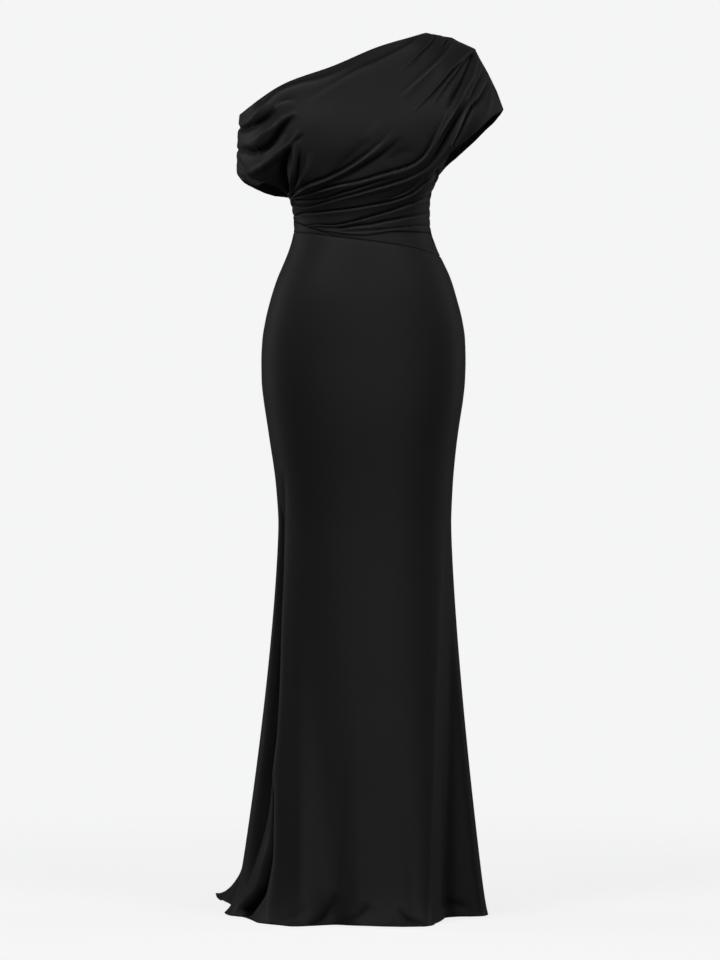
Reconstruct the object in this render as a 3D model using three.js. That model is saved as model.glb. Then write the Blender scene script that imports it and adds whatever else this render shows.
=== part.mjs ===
// One-shoulder evening dress, worn and hollow: a draped bodice cut in one with its two sleeve fronts, its back,
// a waist wrap under the bodice's edge, and a long close skirt in a front and a back that ends in a train.
// Millimetres, +Z up, the front faces -Y and +X is on the right as one looks at the front.
// The sizes below stand on the floor at z = 0. The finished group is moved so that its origin is the shoulder point.
import * as THREE from 'three';

// Driving dimensions
const CLOTH = 1.6;
const SEAM_GAP = 0.3;
const BODICE_OVER_SKIRT = CLOTH + 0.8;
const WRAP_TUCKED_IN = 8;
const KNEE = 692;
const SHOULDER = { x: 141, y: 0, z: 1538 };

// The front is drawn flat, as it looks from a point far in front at the height of the skirt's middle.
const VIEW = { height: 762, distance: 7500 };

// Close part of the dress, knee to waist: the sides, the depths of front and back and the squareness at each level
const TORSO = [
  { level: 692, left: -140.6, right: 157.5, front: 104, back: 101, square: 2.3 },
  { level: 762, left: -146, right: 161, front: 106, back: 102, square: 2.3 },
  { level: 832, left: -156.3, right: 168, front: 110, back: 107, square: 2.3 },
  { level: 867, left: -161.5, right: 173, front: 112, back: 111, square: 2.3 },
  { level: 902, left: -166.8, right: 178.5, front: 113, back: 117, square: 2.3 },
  { level: 937, left: -170.3, right: 182, front: 113, back: 124, square: 2.3 },
  { level: 972, left: -170.8, right: 183, front: 112, back: 130, square: 2.3 },
  { level: 1007, left: -169, right: 182, front: 112, back: 132, square: 2.28 },
  { level: 1042, left: -163.4, right: 177, front: 111, back: 128, square: 2.24 },
  { level: 1077, left: -154.8, right: 168, front: 109, back: 118, square: 2.2 },
  { level: 1112, left: -143.6, right: 157.5, front: 104, back: 104, square: 2.12 },
  { level: 1154, left: -125.8, right: 138, front: 95, back: 88, square: 2.05 },
  { level: 1175, left: -118.2, right: 127, front: 90, back: 82, square: 2 },
  { level: 1196, left: -114.2, right: 120.2, front: 86, back: 79, square: 2 },
  { level: 1215, left: -112.3, right: 118.2, front: 84, back: 78, square: 2 },
  { level: 1240, left: -115.6, right: 118.2, front: 86, back: 80, square: 2 },
  { level: 1262, left: -123.8, right: 120.4, front: 92, back: 85, square: 2 },
];

// Skirt's upper seams, by how far across they are: 0 at the left side seam, 1 at the right
const FRONT_SEAM = [
  { across: 0, level: 1196.2 },
  { across: 0.14, level: 1193 },
  { across: 0.375, level: 1186 },
  { across: 0.61, level: 1178.8 },
  { across: 0.73, level: 1174 },
  { across: 0.845, level: 1168 },
  { across: 0.92, level: 1162 },
  { across: 1, level: 1153.4 },
];
const BACK_SEAM = [
  { across: 0, level: 1196.2 },
  { across: 0.25, level: 1189.7 },
  { across: 0.5, level: 1181.7 },
  { across: 0.75, level: 1169.7 },
  { across: 1, level: 1153.4 },
];

// Hem in plan, by angle: 0 left seam, 90 front, 180 right seam, 270 back. spread is how far it kicks out on the floor,
// late how late the fold opens below the knee, and trail how early it reaches the floor.
const HEM = [
  { angle: 0, x: -218, y: 40, spread: 19, late: 1.45, trail: 1 },
  { angle: 5.6, x: -216, y: 2, spread: 14, late: 1.45, trail: 1 },
  { angle: 11.25, x: -200, y: -28, spread: 8, late: 1.4, trail: 1 },
  { angle: 16.9, x: -181, y: -72, spread: 9, late: 1.35, trail: 1 },
  { angle: 22.5, x: -160, y: -128, spread: 14, late: 1.3, trail: 1 },
  { angle: 30, x: -128, y: -156, spread: 16, late: 1.35, trail: 1 },
  { angle: 40, x: -96, y: -174, spread: 22, late: 1.45, trail: 1 },
  { angle: 55, x: -48, y: -165, spread: -8, late: 1.5, trail: 1 },
  { angle: 75, x: 2, y: -172, spread: 8, late: 1.5, trail: 1 },
  { angle: 100, x: 55, y: -175, spread: 20, late: 1.5, trail: 1 },
  { angle: 125, x: 95, y: -174, spread: 20, late: 1.5, trail: 1 },
  { angle: 145, x: 116, y: -164, spread: 10, late: 1.4, trail: 1 },
  { angle: 154, x: 124, y: -140, spread: 4, late: 1.3, trail: 1 },
  { angle: 161, x: 133, y: -108, spread: 3, late: 1.3, trail: 1 },
  { angle: 166, x: 147, y: -42, spread: 3, late: 1.3, trail: 1 },
  { angle: 171, x: 178, y: -20, spread: 3, late: 1.4, trail: 1 },
  { angle: 176, x: 210, y: -18, spread: 3, late: 1.45, trail: 1 },
  { angle: 180, x: 220, y: 14, spread: 3, late: 1.4, trail: 1 },
  { angle: 188, x: 214, y: 70, spread: 3, late: 1.4, trail: 1.1 },
  { angle: 200, x: 182, y: 128, spread: 3, late: 1.45, trail: 1.3 },
  { angle: 215, x: 156, y: 235, spread: 3, late: 1.5, trail: 1.7 },
  { angle: 232, x: 105, y: 345, spread: 3, late: 1.55, trail: 2 },
  { angle: 250, x: 35, y: 432, spread: 3, late: 1.55, trail: 2.2 },
  { angle: 270, x: -50, y: 470, spread: 3, late: 1.5, trail: 2.2 },
  { angle: 290, x: -135, y: 462, spread: 3, late: 1.5, trail: 2.2 },
  { angle: 308, x: -214, y: 420, spread: 3, late: 1.5, trail: 2.1 },
  { angle: 325, x: -262, y: 360, spread: 3, late: 1.55, trail: 1.9 },
  { angle: 338, x: -253, y: 278, spread: 3, late: 1.75, trail: 1.6 },
  { angle: 350, x: -228, y: 185, spread: 4, late: 1.85, trail: 1.3 },
  { angle: 355, x: -218, y: 105, spread: 12, late: 1.75, trail: 1.1 },
];
const SPREAD_HEIGHT = 20;
const LIES_FLAT = 0.6;

// Depth of the upper bodice from the side plane, front and back, and how far out its round section would close
const FRONT_DEPTH = [
  { level: 1225, depth: 90 },
  { level: 1250, depth: 95 },
  { level: 1280, depth: 106 },
  { level: 1310, depth: 117 },
  { level: 1345, depth: 126 },
  { level: 1380, depth: 124 },
  { level: 1410, depth: 117 },
  { level: 1440, depth: 107 },
  { level: 1480, depth: 90 },
  { level: 1510, depth: 74 },
  { level: 1545, depth: 56 },
];
const BACK_DEPTH = [
  { level: 1196, depth: 81 },
  { level: 1240, depth: 84 },
  { level: 1280, depth: 92 },
  { level: 1330, depth: 102 },
  { level: 1390, depth: 106 },
  { level: 1440, depth: 100 },
  { level: 1480, depth: 88 },
  { level: 1510, depth: 72 },
  { level: 1545, depth: 50 },
];
const CLOSES_LEFT = [
  { level: 1225, out: 165 },
  { level: 1250, out: 205 },
  { level: 1280, out: 245 },
  { level: 1310, out: 270 },
  { level: 1400, out: 270 },
  { level: 1450, out: 250 },
  { level: 1500, out: 230 },
  { level: 1545, out: 205 },
];
const CLOSES_RIGHT = [
  { level: 1225, out: 150 },
  { level: 1260, out: 160 },
  { level: 1300, out: 200 },
  { level: 1345, out: 240 },
  { level: 1390, out: 290 },
  { level: 1414, out: 310 },
  { level: 1450, out: 300 },
  { level: 1500, out: 270 },
  { level: 1545, out: 245 },
];
const CLOSE_UP_TO = 1225;
const LOOSE_FROM = 1290;
const SEAM_ROUND = 0.14;

// Fold lines of the bodice front from its lower edge to the neckline, at the left end, the quarters and the right end
const FRONT_LINES = [
  { x: [-114.6, -56, 4, 63, 122.5], z: [1217, 1197.5, 1190, 1197.3, 1194.5] },
  { x: [-115.3, -56, 4, 63, 121], z: [1223, 1207, 1212.5, 1221, 1226] },
  { x: [-116, -56, 4, 64, 121], z: [1228, 1212, 1221.5, 1241, 1259] },
  { x: [-118, -52, 12, 78, 142.6], z: [1234, 1236, 1244, 1258, 1307] },
  { x: [-118.6, -48, 22, 92, 160], z: [1237, 1240, 1249, 1269, 1344] },
  { x: [-119.2, -40, 40, 118, 206], z: [1240, 1245, 1257, 1295, 1386] },
  { x: [-119.8, -30, 62, 146, 251], z: [1242.5, 1251, 1268, 1325, 1413] },
  { x: [-120.4, -34, 56, 143, 228.5], z: [1245, 1254, 1270, 1330, 1463] },
  { x: [-121, -35, 55, 140, 207], z: [1249, 1259, 1282, 1341, 1510] },
  { x: [-122, -38, 50, 128, 203.5], z: [1254, 1282, 1304, 1350, 1512] },
  { x: [-123, -45, 35, 118, 200.5], z: [1256, 1291, 1338, 1405, 1514.5] },
  { x: [-124, -52, 22, 105, 196], z: [1257.5, 1294, 1341, 1414, 1517] },
  { x: [-125, -93, -12, 97, 168], z: [1259.5, 1325, 1385, 1447, 1529.5] },
  { x: [-126, -115, -25, 80, 156], z: [1261.5, 1345, 1402, 1462, 1533] },
  { x: [-130, -118.5, -32, 72, 150], z: [1268, 1350, 1409, 1470, 1535.5] },
  { x: [-152, -117, -38, 66, 144], z: [1289, 1356, 1414, 1476, 1537] },
  { x: [-190, -114, -39, 64, 141], z: [1273, 1362, 1417, 1479, 1538] },
  { x: [-207, -112, -39.5, 63, 139.5], z: [1287, 1365.5, 1418.5, 1480.5, 1538.5] },
  { x: [-214, -110, -40, 62, 138], z: [1302, 1369, 1420, 1482, 1538.5] },
  { x: [-214.2, -127, -45, 58, 133], z: [1334, 1394, 1428, 1490, 1539.5] },
  { x: [-213, -131.4, -48, 54, 129], z: [1355, 1401.6, 1436, 1497, 1540.3] },
  { x: [-212, -125, -45, 45, 122.5], z: [1371, 1424, 1448, 1499, 1541] },
  { x: [-211.5, -130, -45, 42, 118], z: [1381, 1434.5, 1461, 1502, 1542] },
  { x: [-210.5, -131, -46, 40, 116], z: [1388, 1443.5, 1470, 1508, 1543] },
  { x: [-209, -133, -47, 38, 110], z: [1401, 1456, 1486, 1520, 1543.5] },
];

// Relief of the same lines. crease is the line's own height and roll that of the cloth before the next line, at left,
// middle and right. open is how far a sleeve's edge stands off the side plane at each end, as a share of the full
// depth, and steps the rows of points up to the next line.
const FRONT_RELIEF = [
  { fold: 'lower edge', crease: [0, 0, 0], roll: [2.5, 4, 3.5], open: [0, 0], steps: 2 },
  { fold: 'first waist fold', crease: [0, 0, 0], roll: [2, 4, 4], open: [0, 0], steps: 2 },
  { fold: 'second waist fold', crease: [0, 0, 0], roll: [2.5, 6, 5], open: [0, 0], steps: 2 },
  { fold: 'underarm fold', crease: [0, 0, 0], roll: [0, 0, 0], open: [0, 0], steps: 1 },
  { fold: 'right cuff, low', crease: [2, 4, 1], roll: [0, 0, 0], open: [0, 0.65], steps: 1 },
  { fold: 'right cuff, high', crease: [3, 6, 1], roll: [0, 0, 0], open: [0, 0.8], steps: 1 },
  { fold: "right cuff's tip", crease: [3, 6, 1.5], roll: [0, 0, 0], open: [0, 0], steps: 2 },
  { fold: 'arm fold', crease: [2, 4, -3], roll: [0, 0, 0], open: [0, 0], steps: 2 },
  { fold: 'lower swag', crease: [0, 0, -4], roll: [3, 5, 4], open: [0, 0], steps: 2 },
  { fold: 'upper swag', crease: [-1, -1, -1], roll: [0, 0, 0], open: [0, 0], steps: 2 },
  { fold: 'fold under the bust', crease: [0, 0, 0], roll: [3, 2, 0], open: [0, 0], steps: 1 },
  { fold: 'long fold from the waist', crease: [-1, -1, -2.5], roll: [0, 1, 4], open: [0, 0], steps: 2 },
  { fold: 'side fold to the shoulder', crease: [2, 1, -2.5], roll: [-3, 0, 0], open: [0, 0], steps: 2 },
  { fold: 'left underarm', crease: [3, 1, -1], roll: [0, 0, 0], open: [0.1, 0], steps: 1 },
  { fold: 'left underarm trough', crease: [-6, -2, -2], roll: [0, 0, 0], open: [0.45, 0], steps: 1 },
  { fold: "left cuff's arch", crease: [-1, 0, 0], roll: [0, 0, 0], open: [0.8, 0], steps: 2 },
  { fold: 'left cuff, outer', crease: [3, 1, 0], roll: [0, 0, 0], open: [0.85, 0], steps: 1 },
  { fold: 'left cuff, corner', crease: [4, 1, -1], roll: [0, 0, 0], open: [0.6, 0], steps: 1 },
  { fold: 'lowest sleeve fold', crease: [5, 1, -2.5], roll: [0, 0, 0], open: [0, 0], steps: 2 },
  { fold: 'lower sleeve trough', crease: [-5, -1, -1], roll: [0, 0, 0], open: [0, 0], steps: 1 },
  { fold: 'middle sleeve fold', crease: [4, 1, -2], roll: [0, 0, 0], open: [0, 0], steps: 1 },
  { fold: 'long shoulder pleat', crease: [2, 3, 3], roll: [0, 0, 0], open: [0, 0], steps: 1 },
  { fold: 'neck trough', crease: [-6, -3, 0], roll: [0, 0, 0], open: [0, 0], steps: 1 },
  { fold: 'neck roll', crease: [2, 2, 2], roll: [0, 0, 0], open: [0, 0], steps: 1 },
  { fold: 'neckline', crease: [-1, -1, -1], roll: [0, 0, 0], open: [0, 0], steps: 0 },
];
const FRONT_FOLDS = FRONT_LINES.map((line, k) => ({ ...line, ...FRONT_RELIEF[k] }));
const NO_RELIEF = { crease: [0, 0, 0], roll: [0, 0, 0] };

// Lines of the plain back, from its lower seam to the neckline
const BACK_LINES = [
  { x: [-115.5, -52, 11, 75, 138.5], z: BACK_SEAM.map((row) => row.level + SEAM_GAP), open: [0, 0], steps: 2 },
  { x: [-115, -55, 3, 62, 122.5], z: [1216, 1212, 1207, 1202, 1197], open: [0, 0], steps: 1 },
  { x: [-118, -58, 1, 60, 120.5], z: [1236, 1236, 1234, 1230, 1228], open: [0, 0], steps: 1 },
  { x: [-121, -60, 0, 60, 121], z: [1250, 1255, 1257, 1256, 1258], open: [0, 0], steps: 1 },
  { x: [-126, -58, 8, 75, 142.6], z: [1259, 1272, 1282, 1290, 1307], open: [0, 0], steps: 2 },
  { x: [-156, -75, 10, 98, 182], z: [1261, 1290, 1312, 1325, 1341], open: [0.8, 0.8], steps: 2 },
  { x: [-190, -98, 2, 108, 218.5], z: [1272, 1310, 1340, 1358, 1374.5], open: [0.85, 0.85], steps: 1 },
  { x: [-207.5, -109, -2, 112, 238], z: [1286, 1325, 1356, 1376, 1394], open: [0.6, 0.6], steps: 1 },
  { x: [-214, -120, -5, 115, 251], z: [1302, 1340, 1372, 1395, 1413], open: [0, 0], steps: 2 },
  { x: [-214, -125, -15, 105, 238], z: [1330, 1366, 1400, 1428, 1441], open: [0, 0], steps: 2 },
  { x: [-213, -128, -25, 92, 222], z: [1355, 1390, 1425, 1460, 1474], open: [0, 0], steps: 1 },
  { x: [-212, -130, -33, 78, 204], z: [1372, 1410, 1445, 1487, 1512], open: [0, 0], steps: 1 },
  { x: [-210.5, -131, -40, 60, 160], z: [1387, 1432, 1465, 1504, 1534.5], open: [0, 0], steps: 1 },
  { x: [-209, -133, -47, 38, 110], z: [1401, 1455, 1484, 1518, 1543.5], open: [0, 0], steps: 0 },
].map((line) => ({ ...line, ...NO_RELIEF }));
const QUARTERS = [0, 0.25, 0.5, 0.75, 1];
const THIRDS = [0, 0.5, 1];
const RELIEF_FADE = 0.05;
const ROLL_FULLNESS = 0.6;
const BACK_STEP_HEIGHT = 24;

// How finely each piece is divided
const COLUMNS = { bodiceFront: 38, bodiceBack: 26, skirtFront: 32, skirtBack: 34 };
const SKIRT_ROWS = [
  0, 0.05, 0.13, 0.22, 0.31, 0.41, 0.52, 0.64, 0.82, 1,
  1.12, 1.24, 1.36, 1.48, 1.59, 1.69, 1.78, 1.86, 1.92, 1.965, 2,
];
const WRAP_ROWS = 3;
const NEARBY_TURN = 0.004;

// Monotone cubic through the knots, straight on beyond them
function curve(knots, values) {
  const last = knots.length - 1;
  const slope = (k) => (values[k + 1] - values[k]) / (knots[k + 1] - knots[k]);
  const tangents = knots.map((_, k) => {
    if (k === 0 || k === last) return 0;
    const before = slope(k - 1);
    const after = slope(k);
    return before * after > 0 ? (2 * before * after) / (before + after) : 0;
  });
  tangents[0] = (3 * slope(0) - tangents[1]) / 2;
  tangents[last] = (3 * slope(last - 1) - tangents[last - 1]) / 2;
  return (at) => {
    if (at <= knots[0]) return values[0] + tangents[0] * (at - knots[0]);
    if (at >= knots[last]) return values[last] + tangents[last] * (at - knots[last]);
    let k = 0;
    while (at > knots[k + 1]) k += 1;
    const span = knots[k + 1] - knots[k];
    const t = (at - knots[k]) / span;
    const rise = t * t * (3 - 2 * t);
    return (
      values[k] * (1 - rise) +
      values[k + 1] * rise +
      tangents[k] * span * t * (1 - t) * (1 - t) -
      tangents[k + 1] * span * t * t * (1 - t)
    );
  };
}

// One curve for each named column of a table, over the column that places its rows
function columns(table, place) {
  const knots = table.map((row) => row[place]);
  const names = Object.keys(table[0]).filter((name) => name !== place);
  return Object.fromEntries(names.map((name) => [name, curve(knots, table.map((row) => row[name]))]));
}

const torso = columns(TORSO, 'level');
const frontSeam = columns(FRONT_SEAM, 'across').level;
const backSeam = columns(BACK_SEAM, 'across').level;
const frontDepth = columns(FRONT_DEPTH, 'level').depth;
const backDepth = columns(BACK_DEPTH, 'level').depth;
const closesLeft = columns(CLOSES_LEFT, 'level').out;
const closesRight = columns(CLOSES_RIGHT, 'level').out;

// The hem table runs on for a few rows past each end, so that its curves close smoothly at the left seam
const wrapped = (row, turns) => ({ ...row, angle: row.angle + 360 * turns });
const hem = columns(
  [...HEM.slice(-3).map((row) => wrapped(row, -1)), ...HEM, ...HEM.slice(0, 3).map((row) => wrapped(row, 1))],
  'angle',
);

const mix = THREE.MathUtils.lerp;
const smooth = THREE.MathUtils.smoothstep;
const radians = THREE.MathUtils.degToRad;
const { clamp } = THREE.MathUtils;
const across = (angle) => (1 - Math.cos(radians(angle))) / 2;

// Height of a point of the drawn front once it stands at its own depth
const inDepth = (level, y) => VIEW.height + (level - VIEW.height) * (1 + y / VIEW.distance);

// Point of the close section at a level, grown outwards by a layer
function ring(level, angle, grow = 0) {
  const left = torso.left(level) - grow;
  const right = torso.right(level) + grow;
  const depth = (angle < 180 ? torso.front(level) : torso.back(level)) + grow;
  const square = torso.square(level);
  const c = Math.cos(radians(angle));
  const s = Math.sin(radians(angle));
  const reach = (Math.abs(c) ** square + Math.abs(s) ** square) ** (-1 / square);
  return new THREE.Vector3(
    (left + right) / 2 - ((right - left) / 2) * reach * c,
    -depth * reach * s,
    level,
  );
}

// Skirt's upper edge at an angle
function skirtTop(angle) {
  if (angle > 180 && angle < 360) return backSeam(across(angle));
  const level = frontSeam(across(angle));
  return inDepth(level, ring(level, angle).y);
}

// Skirt surface: 0 is its upper seam, 1 the knee and 2 the hem
function skirt(angle, down) {
  if (down <= 1) return ring(mix(skirtTop(angle), KNEE, down), angle);
  const below = down - 1;
  const knee = ring(KNEE, angle);
  const opened = below ** hem.late(angle);
  const trail = hem.trail(angle);
  const level = KNEE * (1 - below) ** trail;
  const lying = Math.min(1, (trail - 1) / LIES_FLAT) * CLOTH * below;
  const kick = hem.spread(angle) * Math.exp(-level / SPREAD_HEIGHT);
  return new THREE.Vector3(
    mix(knee.x, hem.x(angle), opened) - kick * Math.cos(radians(angle)),
    mix(knee.y, hem.y(angle), opened) - kick * Math.sin(radians(angle)),
    level + lying,
  );
}

// Angle that lies half a seam gap from a side seam, along the cloth
function besideSeam(seamAngle, side, down) {
  const step = 0.01;
  const speed = skirt(seamAngle, down).distanceTo(skirt(seamAngle + side * step, down)) / step;
  return seamAngle + (side * SEAM_GAP) / 2 / speed;
}

function surfaceNormal(surface, u, v, du, dv) {
  const alongU = surface(u + du, v).sub(surface(u - du, v));
  const alongV = surface(u, v + dv).sub(surface(u, v - dv));
  return alongU.cross(alongV).normalize();
}

// Near-black jersey with a soft satin face
function jersey(name) {
  const material = new THREE.MeshStandardMaterial({ color: 0x161616, roughness: 0.62, metalness: 0 });
  material.name = `jersey_${name}`;
  return material;
}

// Closed wall: its outer points, and the same points moved in by the cloth, joined round the edge
function wall(name, rows, outerAt, normalAt) {
  const outer = rows.map((row) => row.map(outerAt));
  const inner = rows.map((row, i) =>
    row.map((place, j) => {
      const point = outer[i][j].clone().addScaledVector(normalAt(place, i, j), -CLOTH);
      point.z = Math.max(point.z, 0);
      return point;
    }),
  );
  const width = rows[0].length;
  const count = rows.length * width;
  const positions = [...outer.flat(), ...inner.flat()].flatMap((p) => p.toArray());
  const faces = [];
  const at = (i, j) => i * width + j;
  const quad = (a, b, c, d) => faces.push(a, b, c, a, c, d);
  for (let i = 0; i + 1 < rows.length; i += 1) {
    for (let j = 0; j + 1 < width; j += 1) {
      const corners = [at(i, j), at(i, j + 1), at(i + 1, j + 1), at(i + 1, j)];
      const rising = outer[i][j].distanceTo(outer[i + 1][j + 1]);
      const falling = outer[i][j + 1].distanceTo(outer[i + 1][j]);
      if (falling < rising) corners.push(corners.shift());
      const [a, b, c, d] = corners;
      quad(a, b, c, d);
      quad(a + count, d + count, c + count, b + count);
    }
  }
  const edge = [];
  for (let j = 0; j < width; j += 1) edge.push(at(0, j));
  for (let i = 1; i < rows.length; i += 1) edge.push(at(i, width - 1));
  for (let j = width - 2; j >= 0; j -= 1) edge.push(at(rows.length - 1, j));
  for (let i = rows.length - 2; i > 0; i -= 1) edge.push(at(i, 0));
  edge.forEach((a, k) => {
    const b = edge[(k + 1) % edge.length];
    quad(b, a, a + count, b + count);
  });
  const geometry = new THREE.BufferGeometry();
  geometry.setAttribute('position', new THREE.Float32BufferAttribute(positions, 3));
  geometry.setIndex(faces);
  if (signedVolume(geometry) < 0) {
    for (let k = 0; k < faces.length; k += 3) faces.splice(k, 3, faces[k], faces[k + 2], faces[k + 1]);
    geometry.setIndex(faces);
  }
  geometry.computeVertexNormals();
  const mesh = new THREE.Mesh(geometry, jersey(name));
  mesh.name = name;
  return mesh;
}

function signedVolume(geometry) {
  const index = geometry.getIndex();
  const position = geometry.getAttribute('position');
  const corner = (k) => new THREE.Vector3().fromBufferAttribute(position, index.getX(k));
  let volume = 0;
  for (let k = 0; k < index.count; k += 3) {
    volume += corner(k).dot(corner(k + 1).cross(corner(k + 2))) / 6;
  }
  return volume;
}

// Skirt panel between two side seams
function skirtPanel(name, seams, columnCount) {
  const rows = SKIRT_ROWS.map((down) => {
    const from = besideSeam(seams[0], 1, down);
    const to = besideSeam(seams[1], -1, down);
    return Array.from({ length: columnCount + 1 }, (_, j) => [mix(from, to, j / columnCount), down]);
  });
  const nearby = { angle: 0.1, down: 0.001 };
  const normalAt = ([angle, down]) => {
    const inside = clamp(angle, seams[0] + 2 * nearby.angle, seams[1] - 2 * nearby.angle);
    return surfaceNormal(skirt, inside, Math.min(down, 2 - nearby.down), nearby.angle, nearby.down);
  };
  return wall(name, rows, ([angle, down]) => skirt(angle, down), normalAt);
}

// Lines of the bodice as smooth curves across, and between two lines as a mix of both
function draped(lines) {
  const smoothLines = lines.map((line) => ({
    x: curve(QUARTERS, line.x),
    z: curve(QUARTERS, line.z),
    crease: curve(THIRDS, line.crease),
    roll: curve(THIRDS, line.roll),
    open: line.open,
  }));
  return (up, w) => {
    const k = Math.min(Math.max(Math.floor(up), 0), lines.length - 2);
    const part = up - k;
    const [low, high] = [smoothLines[k], smoothLines[k + 1]];
    const fade = smooth(w, 0, RELIEF_FADE) * smooth(1 - w, 0, RELIEF_FADE);
    const round = Math.sin(Math.PI * clamp(part, 0, 1)) ** ROLL_FULLNESS;
    return {
      x: mix(low.x(w), high.x(w), part),
      z: mix(low.z(w), high.z(w), part),
      relief: fade * (mix(low.crease(w), high.crease(w), part) + round * low.roll(w)),
      open: [mix(low.open[0], high.open[0], part), mix(low.open[1], high.open[1], part)],
    };
  };
}

// 1 inside the piece, falling along a quarter round to the seam, where a sleeve's open edge keeps a part of its depth
function roundedTo(open, fromSeam) {
  const near = Math.max(0, 1 - fromSeam / SEAM_ROUND);
  return Math.sqrt(1 - (1 - open * open) * near * near);
}

function looseDepth(depth, { x, z, open }, w) {
  const closes = x < 0 ? closesLeft(z) : closesRight(z);
  const section = Math.sqrt(Math.max(0, 1 - (x / closes) ** 2));
  return depth(z) * section * roundedTo(open[0], w) * roundedTo(open[1], 1 - w);
}

const frontDrape = draped(FRONT_FOLDS);
const backDrape = draped(BACK_LINES);

// Bodice front form without its folds: close to the body at the waist, loose above it
function bodiceFront(turn, up) {
  const w = across(180 * turn);
  const drawn = frontDrape(up, w);
  const loose = smooth(drawn.z, CLOSE_UP_TO, LOOSE_FROM);
  const y = -looseDepth(frontDepth, drawn, w) - SEAM_GAP / 2;
  const close = ring(inDepth(drawn.z, ring(drawn.z, 180 * turn).y), 180 * turn, BODICE_OVER_SKIRT);
  close.y -= SEAM_GAP / 2;
  const free = new THREE.Vector3(drawn.x * (1 + y / VIEW.distance), y, inDepth(drawn.z, y));
  return close.lerp(free, loose);
}

function bodiceBack(turn, up) {
  const w = across(180 * turn);
  const line = backDrape(up, w);
  const loose = smooth(line.z, CLOSE_UP_TO, LOOSE_FROM);
  const over = BODICE_OVER_SKIRT * smooth(line.z - backSeam(w), 0, BACK_STEP_HEIGHT);
  const y = looseDepth(backDepth, line, w) + SEAM_GAP / 2;
  const close = ring(line.z, 360 - 180 * turn, over);
  close.y += SEAM_GAP / 2;
  return close.lerp(new THREE.Vector3(line.x, y, line.z), loose);
}

function bodicePanel(name, lines, form, drape, facing, columnCount) {
  const ups = [];
  lines.forEach((line, k) => {
    for (let step = 0; step < line.steps; step += 1) ups.push(k + step / line.steps);
  });
  ups.push(lines.length - 1);
  const turns = Array.from({ length: columnCount + 1 }, (_, j) => j / columnCount);
  const rows = ups.map((up) => turns.map((turn) => [turn, up]));
  const nearby = { turn: NEARBY_TURN, up: 0.05 };
  const normalAt = ([turn, up]) => {
    const inside = clamp(turn, nearby.turn, 1 - nearby.turn);
    const level = clamp(up, nearby.up, lines.length - 1 - nearby.up);
    const normal = surfaceNormal(form, inside, level, nearby.turn, nearby.up).multiplyScalar(facing);
    const open = drape(up, 0).open[turn < 0.5 ? 0 : 1];
    if ((turn === 0 || turn === 1) && open === 0) normal.setY(0).normalize();
    return normal;
  };
  const outerAt = ([turn, up]) => {
    const { relief } = drape(up, across(180 * turn));
    return form(turn, up).addScaledVector(normalAt([turn, up]), relief);
  };
  return wall(name, rows, outerAt, normalAt);
}

// Wrap: from the skirt's front seam to a hidden edge under the bodice's lower edge
function waistWrap(name, columnCount) {
  const lowerEdge = curve(QUARTERS, FRONT_FOLDS[0].z);
  const surface = (turn, up) => {
    const angle = 180 * turn;
    const bottom = skirtTop(angle) + SEAM_GAP;
    const drawn = lowerEdge(across(angle));
    const top = inDepth(drawn, ring(drawn, angle).y) + WRAP_TUCKED_IN;
    const point = ring(mix(bottom, top, up), angle);
    point.y -= SEAM_GAP / 2;
    return point;
  };
  const turns = Array.from({ length: columnCount + 1 }, (_, j) => j / columnCount);
  const rows = Array.from({ length: WRAP_ROWS + 1 }, (_, i) => turns.map((turn) => [turn, i / WRAP_ROWS]));
  const normalAt = ([turn, up]) => {
    const inside = clamp(turn, NEARBY_TURN, 1 - NEARBY_TURN);
    const normal = surfaceNormal(surface, inside, up, NEARBY_TURN, 0.01);
    if (turn === 0 || turn === 1) normal.setY(0).normalize();
    return normal;
  };
  return wall(name, rows, ([turn, up]) => surface(turn, up), normalAt);
}

const dress = new THREE.Group();
const pieces = new THREE.Group();
pieces.position.set(-SHOULDER.x, -SHOULDER.y, -SHOULDER.z);
dress.add(pieces);

pieces.add(
  bodicePanel('bodice_front', FRONT_FOLDS, bodiceFront, frontDrape, 1, COLUMNS.bodiceFront),
  bodicePanel('bodice_back', BACK_LINES, bodiceBack, backDrape, -1, COLUMNS.bodiceBack),
  waistWrap('waist_wrap', COLUMNS.bodiceFront),
  skirtPanel('skirt_front', [0, 180], COLUMNS.skirtFront),
  skirtPanel('skirt_back', [180, 360], COLUMNS.skirtBack),
);

export default dress;
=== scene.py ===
"""One-shoulder evening dress in near-black jersey, standing filled out as it is worn, with nobody in it.

Lengths are in millimetres and stand on the floor at z = 0, with the front towards -Y. A mesh turns them
into metres from the shoulder point, which is the frame's origin. Each piece is a thin closed wall on the
form of its solid, with its creases laid on one by one from fold tables.
"""
import math

import bpy
import numpy as np
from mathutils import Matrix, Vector


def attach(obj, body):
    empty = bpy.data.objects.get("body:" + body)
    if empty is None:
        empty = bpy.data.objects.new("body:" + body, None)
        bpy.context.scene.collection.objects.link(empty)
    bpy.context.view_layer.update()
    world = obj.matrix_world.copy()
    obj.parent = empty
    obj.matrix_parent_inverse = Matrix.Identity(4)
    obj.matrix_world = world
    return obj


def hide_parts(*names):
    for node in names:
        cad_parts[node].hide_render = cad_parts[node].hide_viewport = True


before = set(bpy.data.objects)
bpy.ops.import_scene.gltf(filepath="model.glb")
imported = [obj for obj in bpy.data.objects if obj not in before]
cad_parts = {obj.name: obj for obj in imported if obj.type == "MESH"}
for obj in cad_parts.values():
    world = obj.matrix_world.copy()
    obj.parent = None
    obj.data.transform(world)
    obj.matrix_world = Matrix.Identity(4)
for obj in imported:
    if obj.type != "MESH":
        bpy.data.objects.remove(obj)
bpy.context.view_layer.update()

MM = 0.001
CLOTH = 1.2
CAD_CLOTH = 1.6
STANDS_PROUD = 2
SEAM_GAP = 0.02
AT_SEAM = {"facing": 0.55, "reach": 3}
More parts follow.
